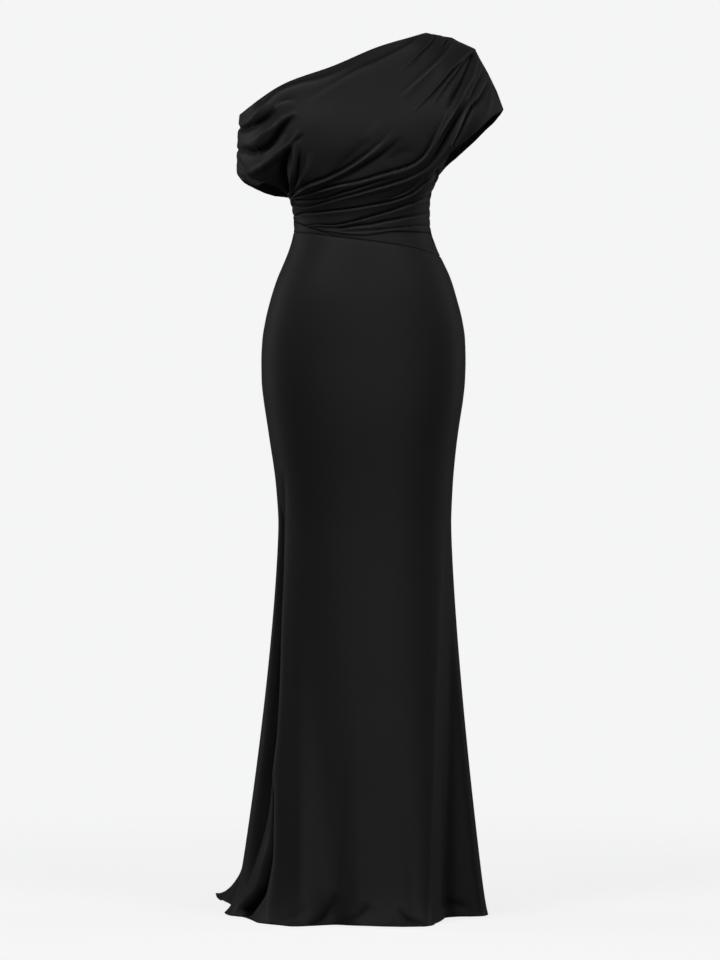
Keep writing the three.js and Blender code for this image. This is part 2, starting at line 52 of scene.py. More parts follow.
BODICE_OVER_SKIRT = 2.4
WRAP_TUCKED_IN = 8
KNEE = 692
SHOULDER = np.array([141.0, 0.0, 1538.0])
EYE_HEIGHT = 762
EYE_DISTANCE = 7500
VIEW_HEIGHT = 1680
# Painted shade in creases and deep valleys, and painted highlight on crests: strengths, easing and bounds
PAINTED_SHADE = {"crease": 0.36, "spread": 10, "valley": 0.033, "darkest": 0.15, "lightest": 1.5}

# Grids of the cloth. The rows lie closer together at the waist and near the hem.
COLUMNS = {"bodice": 301, "wrap": 301, "skirt": 251}
ROWS = {"bodice_front": 241, "bodice_back": 181, "wrap": 31, "skirt": 241}
WAIST_LINES = {"bodice_front": 12, "bodice_back": 4}
WAIST_CLOSER = 2.2
HEM_CLOSER = 1.25
FLARED = (1.4, 1.9, 5)
TRIAL = 400
EASED = {"bodice": 50, "skirt": 12}


def row(names, table):
    """A table of rows as one array for each named column."""
    return dict(zip(names.split(), np.array(table, float).T))


# The close part of the dress, knee to waist
TORSO = row("level left right front back square", [
    (692, -140.6, 157.5, 104, 101, 2.3),
    (762, -146, 161, 106, 102, 2.3),
    (832, -156.3, 168, 110, 107, 2.3),
    (867, -161.5, 173, 112, 111, 2.3),
    (902, -166.8, 178.5, 113, 117, 2.3),
    (937, -170.3, 182, 113, 124, 2.3),
    (972, -170.8, 183, 112, 130, 2.3),
    (1007, -169, 182, 112, 132, 2.28),
    (1042, -163.4, 177, 111, 128, 2.24),
    (1077, -154.8, 168, 109, 118, 2.2),
    (1112, -143.6, 157.5, 104, 104, 2.12),
    (1154, -125.8, 138, 95, 88, 2.05),
    (1175, -118.2, 127, 90, 82, 2),
    (1196, -114.2, 120.2, 86, 79, 2),
    (1215, -112.3, 118.2, 84, 78, 2),
    (1240, -115.6, 118.2, 86, 80, 2),
    (1262, -123.8, 120.4, 92, 85, 2),
])

# The skirt's upper seams: 0 is the left side seam and 1 the right
FRONT_SEAM = row("across level", [
    (0, 1196.2), (0.14, 1193), (0.375, 1186), (0.61, 1178.8),
    (0.73, 1174), (0.845, 1168), (0.92, 1162), (1, 1153.4),
])
BACK_SEAM = row("across level", [
    (0, 1196.2), (0.25, 1189.7), (0.5, 1181.7), (0.75, 1169.7), (1, 1153.4),
])

# The hem in plan, by angle from the left seam round the front
HEM = row("angle x y spread late trail", [
    (0, -218, 40, 19, 1.45, 1),
    (5.6, -216, 2, 14, 1.45, 1),
    (11.25, -200, -28, 8, 1.4, 1),
    (16.9, -181, -72, 9, 1.35, 1),
    (22.5, -160, -128, 14, 1.3, 1),
    (30, -128, -156, 16, 1.35, 1),
    (40, -96, -174, 22, 1.45, 1),
    (55, -48, -165, -8, 1.5, 1),
    (75, 2, -172, 8, 1.5, 1),
    (100, 55, -175, 20, 1.5, 1),
    (125, 95, -174, 20, 1.5, 1),
    (145, 116, -164, 10, 1.4, 1),
    (154, 124, -140, 4, 1.3, 1),
    (161, 133, -108, 3, 1.3, 1),
    (166, 147, -42, 3, 1.3, 1),
    (171, 178, -20, 3, 1.4, 1),
    (176, 210, -18, 3, 1.45, 1),
    (180, 220, 14, 3, 1.4, 1),
    (188, 214, 70, 3, 1.4, 1.1),
    (200, 182, 128, 3, 1.45, 1.3),
    (215, 156, 235, 3, 1.5, 1.7),
    (232, 105, 345, 3, 1.55, 2),
    (250, 35, 432, 3, 1.55, 2.2),
    (270, -50, 470, 3, 1.5, 2.2),
    (290, -135, 462, 3, 1.5, 2.2),
    (308, -214, 420, 3, 1.5, 2.1),
    (325, -262, 360, 3, 1.55, 1.9),
    (338, -253, 278, 3, 1.75, 1.6),
    (350, -228, 185, 4, 1.85, 1.3),
    (355, -218, 105, 12, 1.75, 1.1),
])
SPREAD_HEIGHT = 20
LIES_FLAT = 0.6

# Depth of the upper bodice from the side plane, and how far out its round section would close
FRONT_DEPTH = row("level depth", [
    (1225, 90), (1250, 96), (1280, 104), (1310, 113), (1345, 122), (1380, 124),
    (1410, 119), (1440, 108), (1480, 90), (1510, 74), (1545, 56),
])
BACK_DEPTH = row("level depth", [
    (1196, 81), (1240, 84), (1280, 92), (1330, 102), (1390, 106),
    (1440, 100), (1480, 88), (1510, 72), (1545, 50),
])
CLOSES_LEFT = row("level out", [
    (1225, 165), (1250, 205), (1280, 245), (1310, 270), (1400, 270), (1450, 250), (1500, 230), (1545, 205),
])
CLOSES_RIGHT = row("level out", [
    (1225, 150), (1260, 160), (1300, 200), (1345, 240), (1390, 290),
    (1414, 310), (1450, 300), (1500, 270), (1545, 245),
])
CLOSE_UP_TO = 1225
LOOSE_FROM = 1290
SEAM_ROUND = 0.14

# Guide lines of the bodice front, from its lower edge to the neckline, at the left end, the quarters and
# the right end. open is how far a sleeve's edge stands off the side plane at each end, where it does. cuff
# marks the lines that end at the right cuff.
FRONT_LINES = [
    {"x": (-114.6, -56, 4, 63, 122.5), "z": (1217, 1197.5, 1190, 1197.3, 1194.5)},
    {"x": (-115.3, -56, 4, 63, 121), "z": (1223, 1207, 1212.5, 1221, 1226)},
    {"x": (-116, -56, 4, 64, 121), "z": (1228, 1212, 1221.5, 1241, 1259)},
    {"x": (-118, -52, 12, 78, 142.6), "z": (1234, 1236, 1244, 1258, 1307)},
    {"x": (-118.6, -48, 22, 92, 160), "z": (1237, 1240, 1249, 1271, 1345), "open": (0, 0.65), "cuff": True},
    {"x": (-119.2, -40, 40, 120, 206), "z": (1240, 1245, 1257, 1303, 1387), "open": (0, 0.8), "cuff": True},
    {"x": (-119.8, -30, 62, 146, 249.5), "z": (1242.5, 1251, 1268, 1328, 1409.5), "cuff": True},
    {"x": (-120.4, -34, 56, 143, 227.5), "z": (1245, 1254, 1270, 1332, 1461)},
    {"x": (-121, -35, 55, 140, 203), "z": (1249, 1259, 1282, 1341, 1508.5)},
    {"x": (-122, -38, 50, 128, 201.5), "z": (1254, 1282, 1304, 1350, 1511.5)},
    {"x": (-123, -45, 35, 118, 200.5), "z": (1256, 1291, 1338, 1405, 1514.5)},
    {"x": (-124, -52, 22, 105, 196), "z": (1257.5, 1294, 1341, 1414, 1517)},
    {"x": (-125, -93, -12, 97, 168), "z": (1259.5, 1325, 1385, 1447, 1529.5)},
    {"x": (-126, -115, -25, 80, 156), "z": (1261.5, 1345, 1402, 1462, 1533), "open": (0.1, 0)},
    {"x": (-130, -118.5, -32, 72, 150), "z": (1268, 1350, 1409, 1470, 1535.5), "open": (0.45, 0)},
    {"x": (-152, -117, -38, 66, 144), "z": (1289, 1356, 1414, 1476, 1537), "open": (0.8, 0)},
    {"x": (-190, -114, -39, 64, 141), "z": (1273, 1362, 1417, 1479, 1538), "open": (0.85, 0)},
    {"x": (-207, -112, -39.5, 63, 139.5), "z": (1287, 1365.5, 1418.5, 1480.5, 1538.5), "open": (0.6, 0)},
    {"x": (-214, -110, -40, 62, 138), "z": (1302, 1369, 1420, 1482, 1538.5)},
    {"x": (-214.2, -127, -45, 58, 133), "z": (1334, 1394, 1428, 1490, 1539.5)},
    {"x": (-213, -131.4, -48, 54, 129), "z": (1355, 1401.6, 1436, 1497, 1540.3)},
    {"x": (-212, -125, -45, 45, 122.5), "z": (1371, 1424, 1448, 1499, 1541)},
    {"x": (-211.5, -130, -45, 42, 118), "z": (1381, 1434.5, 1461, 1502, 1542)},
    {"x": (-210.5, -131, -46, 40, 116), "z": (1388, 1443.5, 1470, 1508, 1543)},
    {"x": (-209, -133, -47, 38, 110), "z": (1401, 1454.5, 1486, 1521.5, 1541.5)},
]

# The same for the plain back
BACK_LINES = [
    {"x": (-115.5, -52, 11, 75, 138.5), "z": tuple(BACK_SEAM["level"] + SEAM_GAP)},
    {"x": (-115, -55, 3, 62, 122.5), "z": (1216, 1212, 1207, 1202, 1197)},
    {"x": (-118, -58, 1, 60, 120.5), "z": (1236, 1236, 1234, 1230, 1228)},
    {"x": (-121, -60, 0, 60, 121), "z": (1250, 1255, 1257, 1256, 1258)},
    {"x": (-126, -58, 8, 75, 142.6), "z": (1259, 1272, 1282, 1290, 1307)},
    {"x": (-156, -75, 10, 98, 182), "z": (1261, 1290, 1312, 1325, 1341), "open": (0.8, 0.8)},
    {"x": (-190, -98, 2, 108, 218.5), "z": (1272, 1310, 1340, 1358, 1374.5), "open": (0.85, 0.85)},
    {"x": (-207.5, -109, -2, 112, 238), "z": (1286, 1325, 1356, 1376, 1391.5), "open": (0.6, 0.6)},
    {"x": (-214, -120, -5, 115, 249.5), "z": (1302, 1340, 1372, 1395, 1409.5)},
    {"x": (-214, -125, -15, 105, 238), "z": (1330, 1366, 1400, 1428, 1441)},
    {"x": (-213, -128, -25, 92, 222), "z": (1355, 1390, 1425, 1460, 1474)},
    {"x": (-212, -130, -33, 78, 201), "z": (1372, 1410, 1445, 1487, 1511)},
    {"x": (-210.5, -131, -40, 60, 160), "z": (1387, 1432, 1465, 1504, 1534.5)},
    {"x": (-209, -133, -47, 38, 110), "z": (1401, 1453.5, 1484, 1519.5, 1541.5)},
]
QUARTERS = (0, 0.25, 0.5, 0.75, 1)
CLOSED = (0, 0)
LAST_QUARTER = (0.75, 0.85)
CUFF_STRAIGHT = (0.9, 1)
BACK_STEP_HEIGHT = 24


def fold(line, deep=0, soft=3, soft_below=None, lift=0, away=0, wide=3, wide_below=None):
    """A crease drawn on the front or back as it is seen, through points (x, z).

    deep is the depth of the trough along the line and soft how far its sides reach. lift is the height of
    a ridge beside it, away how far the ridge lies from the line, above one that runs to the right, and wide
    the ridge's half width. soft_below and wide_below are for the side below such a line where it differs.
    Each may be one value or three: at the start, the middle and the end.
    """
    return {
        "line": line, "deep": deep, "soft": soft, "soft_below": soft if soft_below is None else soft_below,
        "lift": lift, "away": away, "wide": wide, "wide_below": wide if wide_below is None else wide_below,
    }


# The front, as drawn folds: from the neckline down to the waist, and the sleeves
NECK_FOLDS = [
    fold([(-211, 1380), (-198, 1387), (-183, 1400), (-170, 1412), (-157, 1424), (-143, 1437),
          (-124, 1446), (-100, 1454), (-72, 1460), (-45, 1470), (-16, 1483), (12, 1496)],
         lift=(4, 4.4, 0), wide=3.2, wide_below=(8, 13, 16)),
    fold([(-213, 1374), (-196, 1379), (-180, 1387), (-164, 1398), (-148, 1412)],
         deep=(13, 10, 0), soft=(3, 6, 7), soft_below=(4, 8, 9)),
    fold([(-96, 1419), (-67, 1439), (-33, 1460), (0, 1478), (34, 1493), (61, 1507), (88, 1522),
          (104, 1531), (120, 1541)],
         lift=(0, 3.6, 3), wide=3, wide_below=(6, 15, 7)),
    fold([(72, 1480), (92, 1494), (109, 1510), (122, 1523), (133, 1539)],
         deep=(0, 2.4, 3), soft=1.6, soft_below=4, lift=(0, 1.4, 1.4), away=2.4, wide=2),
    fold([(98, 1497), (116, 1512), (129, 1525), (140, 1540)], lift=(0, 2, 2), wide=2.6, wide_below=6),
    fold([(140, 1516), (149, 1527), (154, 1537)], deep=(0, 4, 3), soft=1.8, lift=(0, 1.2, 0.8), away=3),
    fold([(66, 1430), (88, 1449), (106, 1465), (133, 1490), (154, 1512), (170, 1532)],
         lift=(0, 3.8, 3.4), wide=3, wide_below=(6, 12, 6)),
    fold([(70, 1424), (92, 1442), (112, 1460), (132, 1479), (150, 1499)], deep=(0, 3, 0), soft=7),
    fold([(90, 1399), (105, 1416), (122, 1433), (142, 1455), (160, 1477), (180, 1496), (201, 1514)],
         deep=(0, 3.6, 5), soft=1.6, soft_below=3, lift=(0, 2, 2), away=2, wide=1.8),
    fold([(126, 1408), (135, 1427), (149, 1448), (165, 1470), (180, 1491), (201, 1513)],
         deep=(0, 3.2, 4), soft=1.8, soft_below=3, lift=(0, 1.6, 1.6), away=2.4, wide=2),
    fold([(150, 1406), (163, 1430), (175, 1452), (187, 1480), (200, 1511)],
         deep=(0, 7, 7), soft=(6, 5, 2.4), soft_below=(4, 3, 2)),
    fold([(123, 1338), (135, 1355), (148, 1379), (157, 1393), (176, 1428), (188, 1452), (198, 1470),
          (203, 1494)],
         lift=(0, 4.4, 2), wide=(2, 2.4, 2), wide_below=(2, 2.6, 2)),
]
WAIST_FOLDS = [
    # long folds from the left of the waist up towards the right shoulder
    fold([(-68, 1271), (-40, 1278), (0, 1286), (29, 1295), (53, 1302), (77, 1309), (97, 1318),
          (111, 1330), (121, 1345), (132, 1368), (146, 1398)],
         deep=(3, 4, 0), soft=(2, 2.4, 6), soft_below=(0.9, 1, 3), lift=(1.6, 3, 1), away=-2, wide=1.3,
         wide_below=(5, 9, 9)),
    fold([(-118, 1246), (-100, 1241), (-84, 1242), (-60, 1249), (-36, 1256), (-10, 1263), (21, 1272),
          (53, 1281), (81, 1290), (101, 1299), (117, 1310), (129, 1325)],
         deep=(4, 4, 0), soft=(1.6, 2.2, 4), soft_below=(0.9, 1, 2), lift=(1.8, 3, 0.6), away=-2,
         wide=1.3, wide_below=(5, 9, 8)),
    fold([(96, 1296), (114, 1307), (129, 1323), (141, 1341), (152, 1360), (166, 1386), (179, 1408),
          (189, 1428)],
         deep=(0, 13, 0), soft=(3, 6, 6), soft_below=(3, 4, 4)),
    fold([(-116, 1223), (-100, 1229), (-80, 1230), (-54, 1233), (-28, 1236), (0, 1240), (21, 1244),
          (51, 1250), (73, 1257), (91, 1265), (107, 1276), (121, 1288), (138, 1304)],
         deep=(4.6, 4.6, 6), soft=(1.6, 1.8, 3), soft_below=1, lift=(1.6, 2.8, 1.6), away=-2, wide=1.3,
         wide_below=(5, 8, 6)),
    fold([(46, 1254), (70, 1262), (88, 1272), (101, 1284), (113, 1300)],
         deep=(0, 3, 0), soft=1.6, soft_below=1, lift=(0, 1.4, 0), away=-2, wide=1.2, wide_below=3),
    fold([(-94, 1207), (-72, 1209), (-52, 1208), (-28, 1211), (0, 1218), (25, 1225), (49, 1232),
          (73, 1240), (95, 1248), (111, 1255), (124, 1262)],
         deep=(2.6, 5, 3), soft=(1.4, 3, 3), soft_below=1, lift=(1, 2, 1.4), away=-2, wide=1.3,
         wide_below=4),
    fold([(-84, 1204), (-60, 1203), (-34, 1203), (-10, 1207), (17, 1210), (41, 1215), (65, 1219),
          (91, 1224), (118, 1229)],
         deep=(4, 4.4, 2), soft=(1.6, 2, 3), soft_below=(2.6, 2, 1), lift=(0, 1.8, 1), away=-2.4,
         wide=1.4, wide_below=5),
    fold([(-60, 1199), (-28, 1197), (0, 1198), (31, 1200), (61, 1203), (101, 1207), (121, 1208)],
         deep=(0, 2.8, 2), soft=1.6, soft_below=1, lift=(0, 1.4, 1), away=-1.8, wide=1.2, wide_below=4),
    fold([(106, 1257), (120, 1268), (129, 1282), (136, 1301)],
         deep=(0, 7, 6), soft=2, soft_below=1.6, lift=(0, 2, 2), away=-3, wide=2),
    # under the bust
    fold([(-119, 1259), (-109, 1270), (-99, 1277), (-80, 1284), (-54, 1294), (-28, 1307), (0, 1325),
          (21, 1341), (40, 1358), (54, 1374)],
         deep=(6, 4.4, 0), soft=(2.4, 4, 6), soft_below=(1, 1.6, 4), lift=(3, 4, 0), away=-4,
         wide=(2, 3, 4), wide_below=(4, 7, 8)),
    fold([(-88, 1267), (-56, 1280), (-32, 1290), (-10, 1302), (13, 1316), (41, 1334), (60, 1350),
          (76, 1366)],
         deep=(1.5, 6.5, 0), soft=(3, 4, 5), soft_below=(3, 9, 10)),
    fold([(-60, 1288), (-44, 1304), (-26, 1322), (0, 1346), (20, 1360)],
         deep=(0, 3.4, 0), soft=(6, 12, 12)),
    fold([(96, 1334), (78, 1338), (60, 1330), (40, 1318)], deep=(0, 3, 0), soft=(8, 14, 10)),
    fold([(-112, 1258), (-100, 1262), (-82, 1266), (-68, 1271), (-50, 1276), (-36, 1279)],
         deep=(5, 5, 0), soft=1.8, soft_below=1.2, lift=(2, 2.4, 0), away=-2.4, wide=1.4),
    fold([(-112, 1253), (-88, 1253), (-60, 1256), (-40, 1263), (-24, 1268), (0, 1275), (31, 1285),
          (61, 1293)],
         deep=(5, 6, 0), soft=(1.6, 4, 6), soft_below=(1.4, 2.6, 5), lift=(1.6, 2, 0), away=3.4,
         wide=2.4),
    fold([(-4, 1352), (14, 1368), (30, 1382), (52, 1391)], lift=(0, 1.4, 0), wide=8, wide_below=16),
]
SLEEVE_FOLDS = [
    # right
    fold([(162, 1347), (166, 1355), (174, 1371), (180, 1385), (186, 1399), (192, 1412), (207, 1430),
          (215, 1444), (223, 1460)],
         deep=(5, 6, 2), soft=1.4, soft_below=(3, 4, 2), lift=(3, 3.6, 1), away=3, wide=2,
         wide_below=1.6),
    fold([(184, 1414), (196, 1440), (206, 1462), (218, 1484)],
         deep=(0, 3, 2), soft=2, soft_below=4, lift=(0, 1.6, 1), away=3, wide=2),
    fold([(216, 1392), (225, 1418), (229, 1440), (229, 1457)], lift=(0, 2.4, 0), wide=3, wide_below=8),
    fold([(238, 1398), (240, 1416), (239, 1430)], lift=(0, 1.4, 0), wide=3, wide_below=5),
    # left
    fold([(-214, 1340), (-203, 1340), (-190, 1336), (-173, 1339), (-156, 1352), (-142, 1372),
          (-128, 1390), (-113, 1401)],
         deep=(10, 14, 0), soft=(2.6, 8, 7), soft_below=(2.4, 7, 6)),
    fold([(-198, 1348), (-181, 1358), (-167, 1369), (-155, 1377), (-135, 1394), (-121, 1401),
          (-104, 1407)],
         lift=(2, 5, 0), wide=(2, 2.4, 2), wide_below=(2, 3, 3)),
    fold([(-152, 1408), (-146, 1415), (-133, 1422), (-118, 1425), (-104, 1424)],
         lift=(0, 3.4, 0), wide=2, wide_below=9),
    fold([(-211, 1360), (-197, 1350), (-185, 1343), (-178, 1333)],
         lift=(1.4, 4, 2), wide=1.4, deep=(1, 1.6, 0), soft=3),
    fold([(-170, 1330), (-155, 1338), (-143, 1352), (-134, 1370)],
         lift=(0, 3, 0), wide=4, wide_below=7),
    fold([(-199, 1297), (-191, 1301), (-177, 1308), (-164, 1316), (-152, 1325), (-136, 1339),
          (-124, 1350), (-114, 1363), (-102, 1379)],
         lift=(3, 7, 0), wide=(4, 6, 4), wide_below=(2, 4, 3)),
    fold([(-214, 1331), (-208, 1319), (-201, 1308)], deep=(10, 8, 0), soft=2.2, lift=(2, 2, 0), away=4),
    fold([(-121, 1346), (-127, 1333), (-132, 1318), (-135, 1302), (-133, 1286), (-127, 1266)],
         deep=(0, 20, 14), soft=(3, 6, 4), soft_below=(4, 11, 7)),
    fold([(-124, 1261), (-121, 1276), (-119, 1295), (-117, 1317), (-117, 1337), (-114, 1353)],
         lift=(3, 6, 0), wide=1.8, wide_below=(2, 4, 2)),
    fold([(-118, 1264), (-112, 1282), (-109, 1301), (-107, 1322), (-105, 1342)],
         deep=(2, 6, 0), soft=3.4),
    fold([(-115, 1352), (-106, 1361), (-98, 1368)], deep=(0, 3, 0), soft=2.4),
    fold([(-114, 1267), (-105, 1284), (-98, 1299), (-92, 1317), (-90, 1337)],
         lift=(1, 3.6, 0), wide=3, wide_below=8),
]
BODICE_FOLDS = NECK_FOLDS + WAIST_FOLDS + SLEEVE_FOLDS

# The waist wrap's own crease, where it crosses the skirt's seam
WRAP_FOLDS = [
    fold([(-111, 1214), (-91, 1205), (-65, 1196), (-47, 1189)],
         deep=(3, 3, 1), soft=1.2, lift=(1, 1, 0), away=-2, wide=1.2),
]

# Shared dips where a gathered seam pulls the outline in, on the front and the back alike
PUCKERS = {
    "left": row("level deep high", [
        (1379, 4, 4), (1355, 0.8, 4), (1339, 3.4, 3.4), (1321, 1, 4), (1252, 1, 3), (1239, 1.2, 2.6),
        (1225, 1.2, 2.6), (1217, 0.7, 2.2), (1201, 1, 2.6),
    ]),
    "right": row("level deep high", [
        (1296, 1.2, 3), (1282, 0.7, 2.4), (1267, 1.2, 2.8), (1252, 1, 2.4), (1237, 1.2, 2.4),
        (1220, 1, 2.4), (1205, 1, 2.4),
    ]),
}
PUCKER_REACH = 0.02
TROUGH_SHARPNESS = 1.25
RIDGE_SHARPNESS = 1.6
FADED = {"trough": 4, "ridge": 3}
FOLDS_START = 0.012

# The back as it is seen from the front, x to the right: pleats down from the shoulder, gathers at the
# overarm and drag lines at the side seams
BACK_FOLDS = [
    fold([(204, 1506), (180, 1478), (160, 1446), (141, 1408), (120, 1372)],
         deep=(2.4, 2.6, 0), soft=(2, 3.5, 5), lift=(1, 1.4, 0), away=4, wide=4),
    fold([(190, 1518), (160, 1488), (132, 1452), (104, 1408), (84, 1366)],
         deep=(2.2, 2.4, 0), soft=(2, 4, 6), lift=(1, 1.6, 0), away=5, wide=4),
    fold([(171, 1529), (136, 1502), (100, 1464), (66, 1420), (40, 1376)],
         deep=(2, 2.2, 0), soft=(2, 4, 6), lift=(0.8, 1.5, 0), away=5, wide=5),
    fold([(150, 1536), (112, 1516), (70, 1484), (30, 1446), (-2, 1404)],
         deep=(1.6, 2, 0), soft=(2, 4, 6), lift=(0.8, 1.2, 0), away=5, wide=5),
    fold([(132, 1539), (92, 1525), (46, 1502), (0, 1474), (-42, 1438)],
         deep=(1.4, 1.8, 0), soft=(2, 4, 5), lift=(0.6, 1, 0), away=4, wide=4),
    fold([(-213, 1378), (-192, 1380), (-164, 1388), (-132, 1402), (-96, 1418)],
         deep=(5, 3, 0), soft=(3.5, 6, 6), lift=(1.5, 2, 0), away=7, wide=5),
    fold([(-214, 1339), (-190, 1340), (-160, 1350), (-128, 1368), (-96, 1392)],
         deep=(5, 3.6, 0), soft=(3.5, 7, 7), lift=(1.5, 2, 0), away=8, wide=6),
    fold([(-214, 1321), (-192, 1318), (-166, 1322), (-138, 1334), (-108, 1356)],
         deep=(3, 2.6, 0), soft=(3, 6, 6), lift=(1, 1.6, 0), away=7, wide=5),
    fold([(-124, 1258), (-108, 1272), (-84, 1288), (-54, 1306), (-16, 1330)],
         deep=(3, 2.4, 0), soft=(2, 4, 6), lift=(1, 1.6, 0), away=5, wide=5),
    fold([(-120, 1250), (-96, 1258), (-64, 1266), (-26, 1274), (14, 1280)],
         deep=(2.4, 2, 0), soft=(2, 3, 5), lift=(0.8, 1.2, 0), away=4, wide=4),
    fold([(-117, 1237), (-92, 1240), (-58, 1241), (-20, 1240)],
         deep=(2, 1.6, 0), soft=(1.8, 3, 4), lift=(0.8, 1, 0), away=4),
    fold([(-115, 1224), (-94, 1224), (-66, 1222)],
         deep=(1.6, 1.2, 0), soft=(1.8, 2.6, 3), lift=(0.6, 0.8, 0), away=3),
    fold([(140, 1302), (120, 1300), (92, 1302), (58, 1308), (20, 1318)],
         deep=(3, 2.2, 0), soft=(2, 4, 6), lift=(1, 1.4, 0), away=-5, wide=4),
    fold([(132, 1282), (108, 1276), (76, 1272), (40, 1270)],
         deep=(2.4, 2, 0), soft=(2, 3, 5), lift=(0.8, 1.2, 0), away=-4),
    fold([(122, 1256), (98, 1252), (68, 1248), (36, 1246)],
         deep=(2, 1.6, 0), soft=(1.8, 3, 4), lift=(0.8, 1, 0), away=-4),
    fold([(121, 1238), (98, 1236), (70, 1233)],
         deep=(1.8, 1.3, 0), soft=(1.8, 2.6, 3), lift=(0.7, 0.8, 0), away=-3),
    fold([(121, 1219), (100, 1218), (78, 1217)],
         deep=(1.4, 1, 0), soft=(1.8, 2.4, 3), lift=(0.6, 0.7, 0), away=-3),
    fold([(182, 1346), (168, 1372), (160, 1402), (160, 1436)],
         deep=(1.5, 2.4, 0), soft=(3, 5, 5), lift=(0.8, 1.6, 0), away=6, wide=5),
]

# The skirt's front: long soft ridges down the sides, and the breaks where the hem meets the floor
SKIRT_FOLDS = [
    fold([(-129, 700), (-131, 600), (-134.4, 517), (-138.5, 390), (-143.5, 290), (-150, 186),
          (-158, 95), (-161, -8)],
         lift=(1, 3, 2), wide=12, wide_below=3),
    fold([(-133, 780), (-137, 700), (-142, 600), (-147, 517), (-152, 380), (-162, 260), (-173, 168),
          (-185, 106), (-198, 50)],
         deep=(0, 36, 2), soft=(3, 5.5, 6), soft_below=(9, 10, 9)),
    fold([(-145, 310), (-150, 241), (-158, 157), (-169, 95), (-185, 43), (-213, 12)],
         lift=(0, 6, 4), wide=(2, 4, 5), wide_below=(3, 5, 6)),
    fold([(-149, 250), (-156, 150), (-163, 84), (-175, 46), (-202, 10)],
         deep=(0, 24, 26), soft=(2.4, 4, 10), soft_below=(2.4, 6, 8)),
    fold([(-149, 560), (-165, 330), (-183, 200), (-203, 95)], lift=(0, 7, 0), wide=8, wide_below=8),
    fold([(147, 690), (145, 640), (138, 497), (132, 364), (129, 231), (124, 125), (122, -5)],
         lift=(0, 1, 1), wide=4, wide_below=14),
    fold([(152, 640), (150, 497), (146, 364), (145, 231), (144, 125), (146, 20)],
         deep=(0, 4, 5), soft=(14, 22, 34), soft_below=(7, 8, 10)),
    fold([(-6, 420), (-6, 260), (-3, 120), (2, 0)], lift=(0, 1.4, 2), wide=26),
    fold([(-20, 330), (-28, 180), (-40, 50)], deep=(0, 1.4, 1.4), soft=22),
    fold([(70, 240), (78, 120), (88, 10)], deep=(0, 1, 2), soft=18),
    fold([(-150, -14), (-128, -6), (-108, 4), (-92, 26)], deep=(1, 2.4, 0), soft=(8, 11, 12)),
    fold([(-86, -18), (-66, -6), (-52, 16), (-42, 44)], deep=(2.4, 4.4, 0), soft=(6, 13, 14)),
    fold([(-20, -8), (-8, -4), (6, 8), (14, 24)], deep=(1, 3.4, 0), soft=(6, 10, 12)),
    fold([(66, 16), (76, 2), (90, -6), (112, -10)], deep=(0, 3.6, 1), soft=(7, 8, 8)),
    fold([(150, 32), (172, 20), (200, 8)], deep=(0, 4, 2.5), soft=(10, 10, 6)),
]
NEAR_SEAM = (0.0016, 0.0032, 0.0055, 0.008)
SEAM_DIP = {"deep": 1.6, "soft": 1.6}

# The back of the skirt: where its folds run down into the train, by angle
TRAIN_FOLDS = row("angle high half start", [
    (192, 5, 4, 0.25),
    (206, 7, 5, 0.2),
    (222, 8, 6, 0.1),
    (241, 9, 6, 0.15),
    (258, 7, 6, 0.05),
    (276, 9, 7, 0.12),
    (294, 8, 6, 0.06),
    (311, 9, 6, 0.15),
    (328, 8, 5, 0.2),
    (343, 6, 4, 0.3),
])
TRAIN_TROUGH = {"deep": 0.55, "wide": 2.2}


def curve(knots, values):
    """Smooth curve through the knots with no bumps between them, straight on beyond both ends."""
    knots = np.asarray(knots, float)
    values = np.asarray(values, float)
    spans = np.diff(knots).reshape((-1,) + (1,) * (values.ndim - 1))
    slopes = np.diff(values, axis=0) / spans
    before, after = slopes[:-1], slopes[1:]
    tangents = np.zeros_like(values)
    both = before * after
    tangents[1:-1] = np.where(both > 0, 2 * both / np.where(both > 0, before + after, 1), 0)
    tangents[0] = (3 * slopes[0] - tangents[1]) / 2
    tangents[-1] = (3 * slopes[-1] - tangents[-2]) / 2

    def at(place):
        place = np.asarray(place, float)
        k = np.clip(np.searchsorted(knots, place, side="right") - 1, 0, len(slopes) - 1)
        wide = place.shape + (1,) * (values.ndim - 1)
        span = spans[k].reshape(wide)
        t = (place - knots[k]).reshape(wide) / span
        inside = np.clip(t, 0, 1)
        rise = inside * inside * (3 - 2 * inside)
        smooth_part = values[k] * (1 - rise) + values[k + 1] * rise
        bend = tangents[k] * inside * (1 - inside) ** 2 - tangents[k + 1] * inside**2 * (1 - inside)
        beyond = (t - inside) * np.where(t < 0, tangents[0], tangents[-1])
        return smooth_part + span * (bend + beyond)

    return at


def columns(table, place):
    """One curve for each column of a table, over the column that places its rows."""
    return {name: curve(table[place], table[name]) for name in table if name != place}


def mix(a, b, t):
    """Part of the way from a to b."""
    return a + (b - a) * t


def smooth(x, low, high):
    """Rises from 0 to 1 between low and high, with no kink at either end."""
    t = np.clip((x - low) / (high - low), 0, 1)
    return t * t * (3 - 2 * t)


def wrapped(table):
    """The hem table with three rows more at each end, so that its curves close at the left seam."""
    turn = np.where([name == "angle" for name in table], 360, 0)
    whole = np.array([table[name] for name in table])
    before, after = whole[:, -3:] - turn[:, None], whole[:, :3] + turn[:, None]
    return dict(zip(table, np.hstack([before, whole, after])))


torso = columns(TORSO, "level")
front_seam = columns(FRONT_SEAM, "across")["level"]
back_seam = columns(BACK_SEAM, "across")["level"]
hem = columns(wrapped(HEM), "angle")
front_depth = columns(FRONT_DEPTH, "level")["depth"]
back_depth = columns(BACK_DEPTH, "level")["depth"]
closes_left = columns(CLOSES_LEFT, "level")["out"]
closes_right = columns(CLOSES_RIGHT, "level")["out"]


def across(angle):
    """Share of the way from the left seam to the right one, at an angle round the dress."""
    return (1 - np.cos(np.radians(angle))) / 2


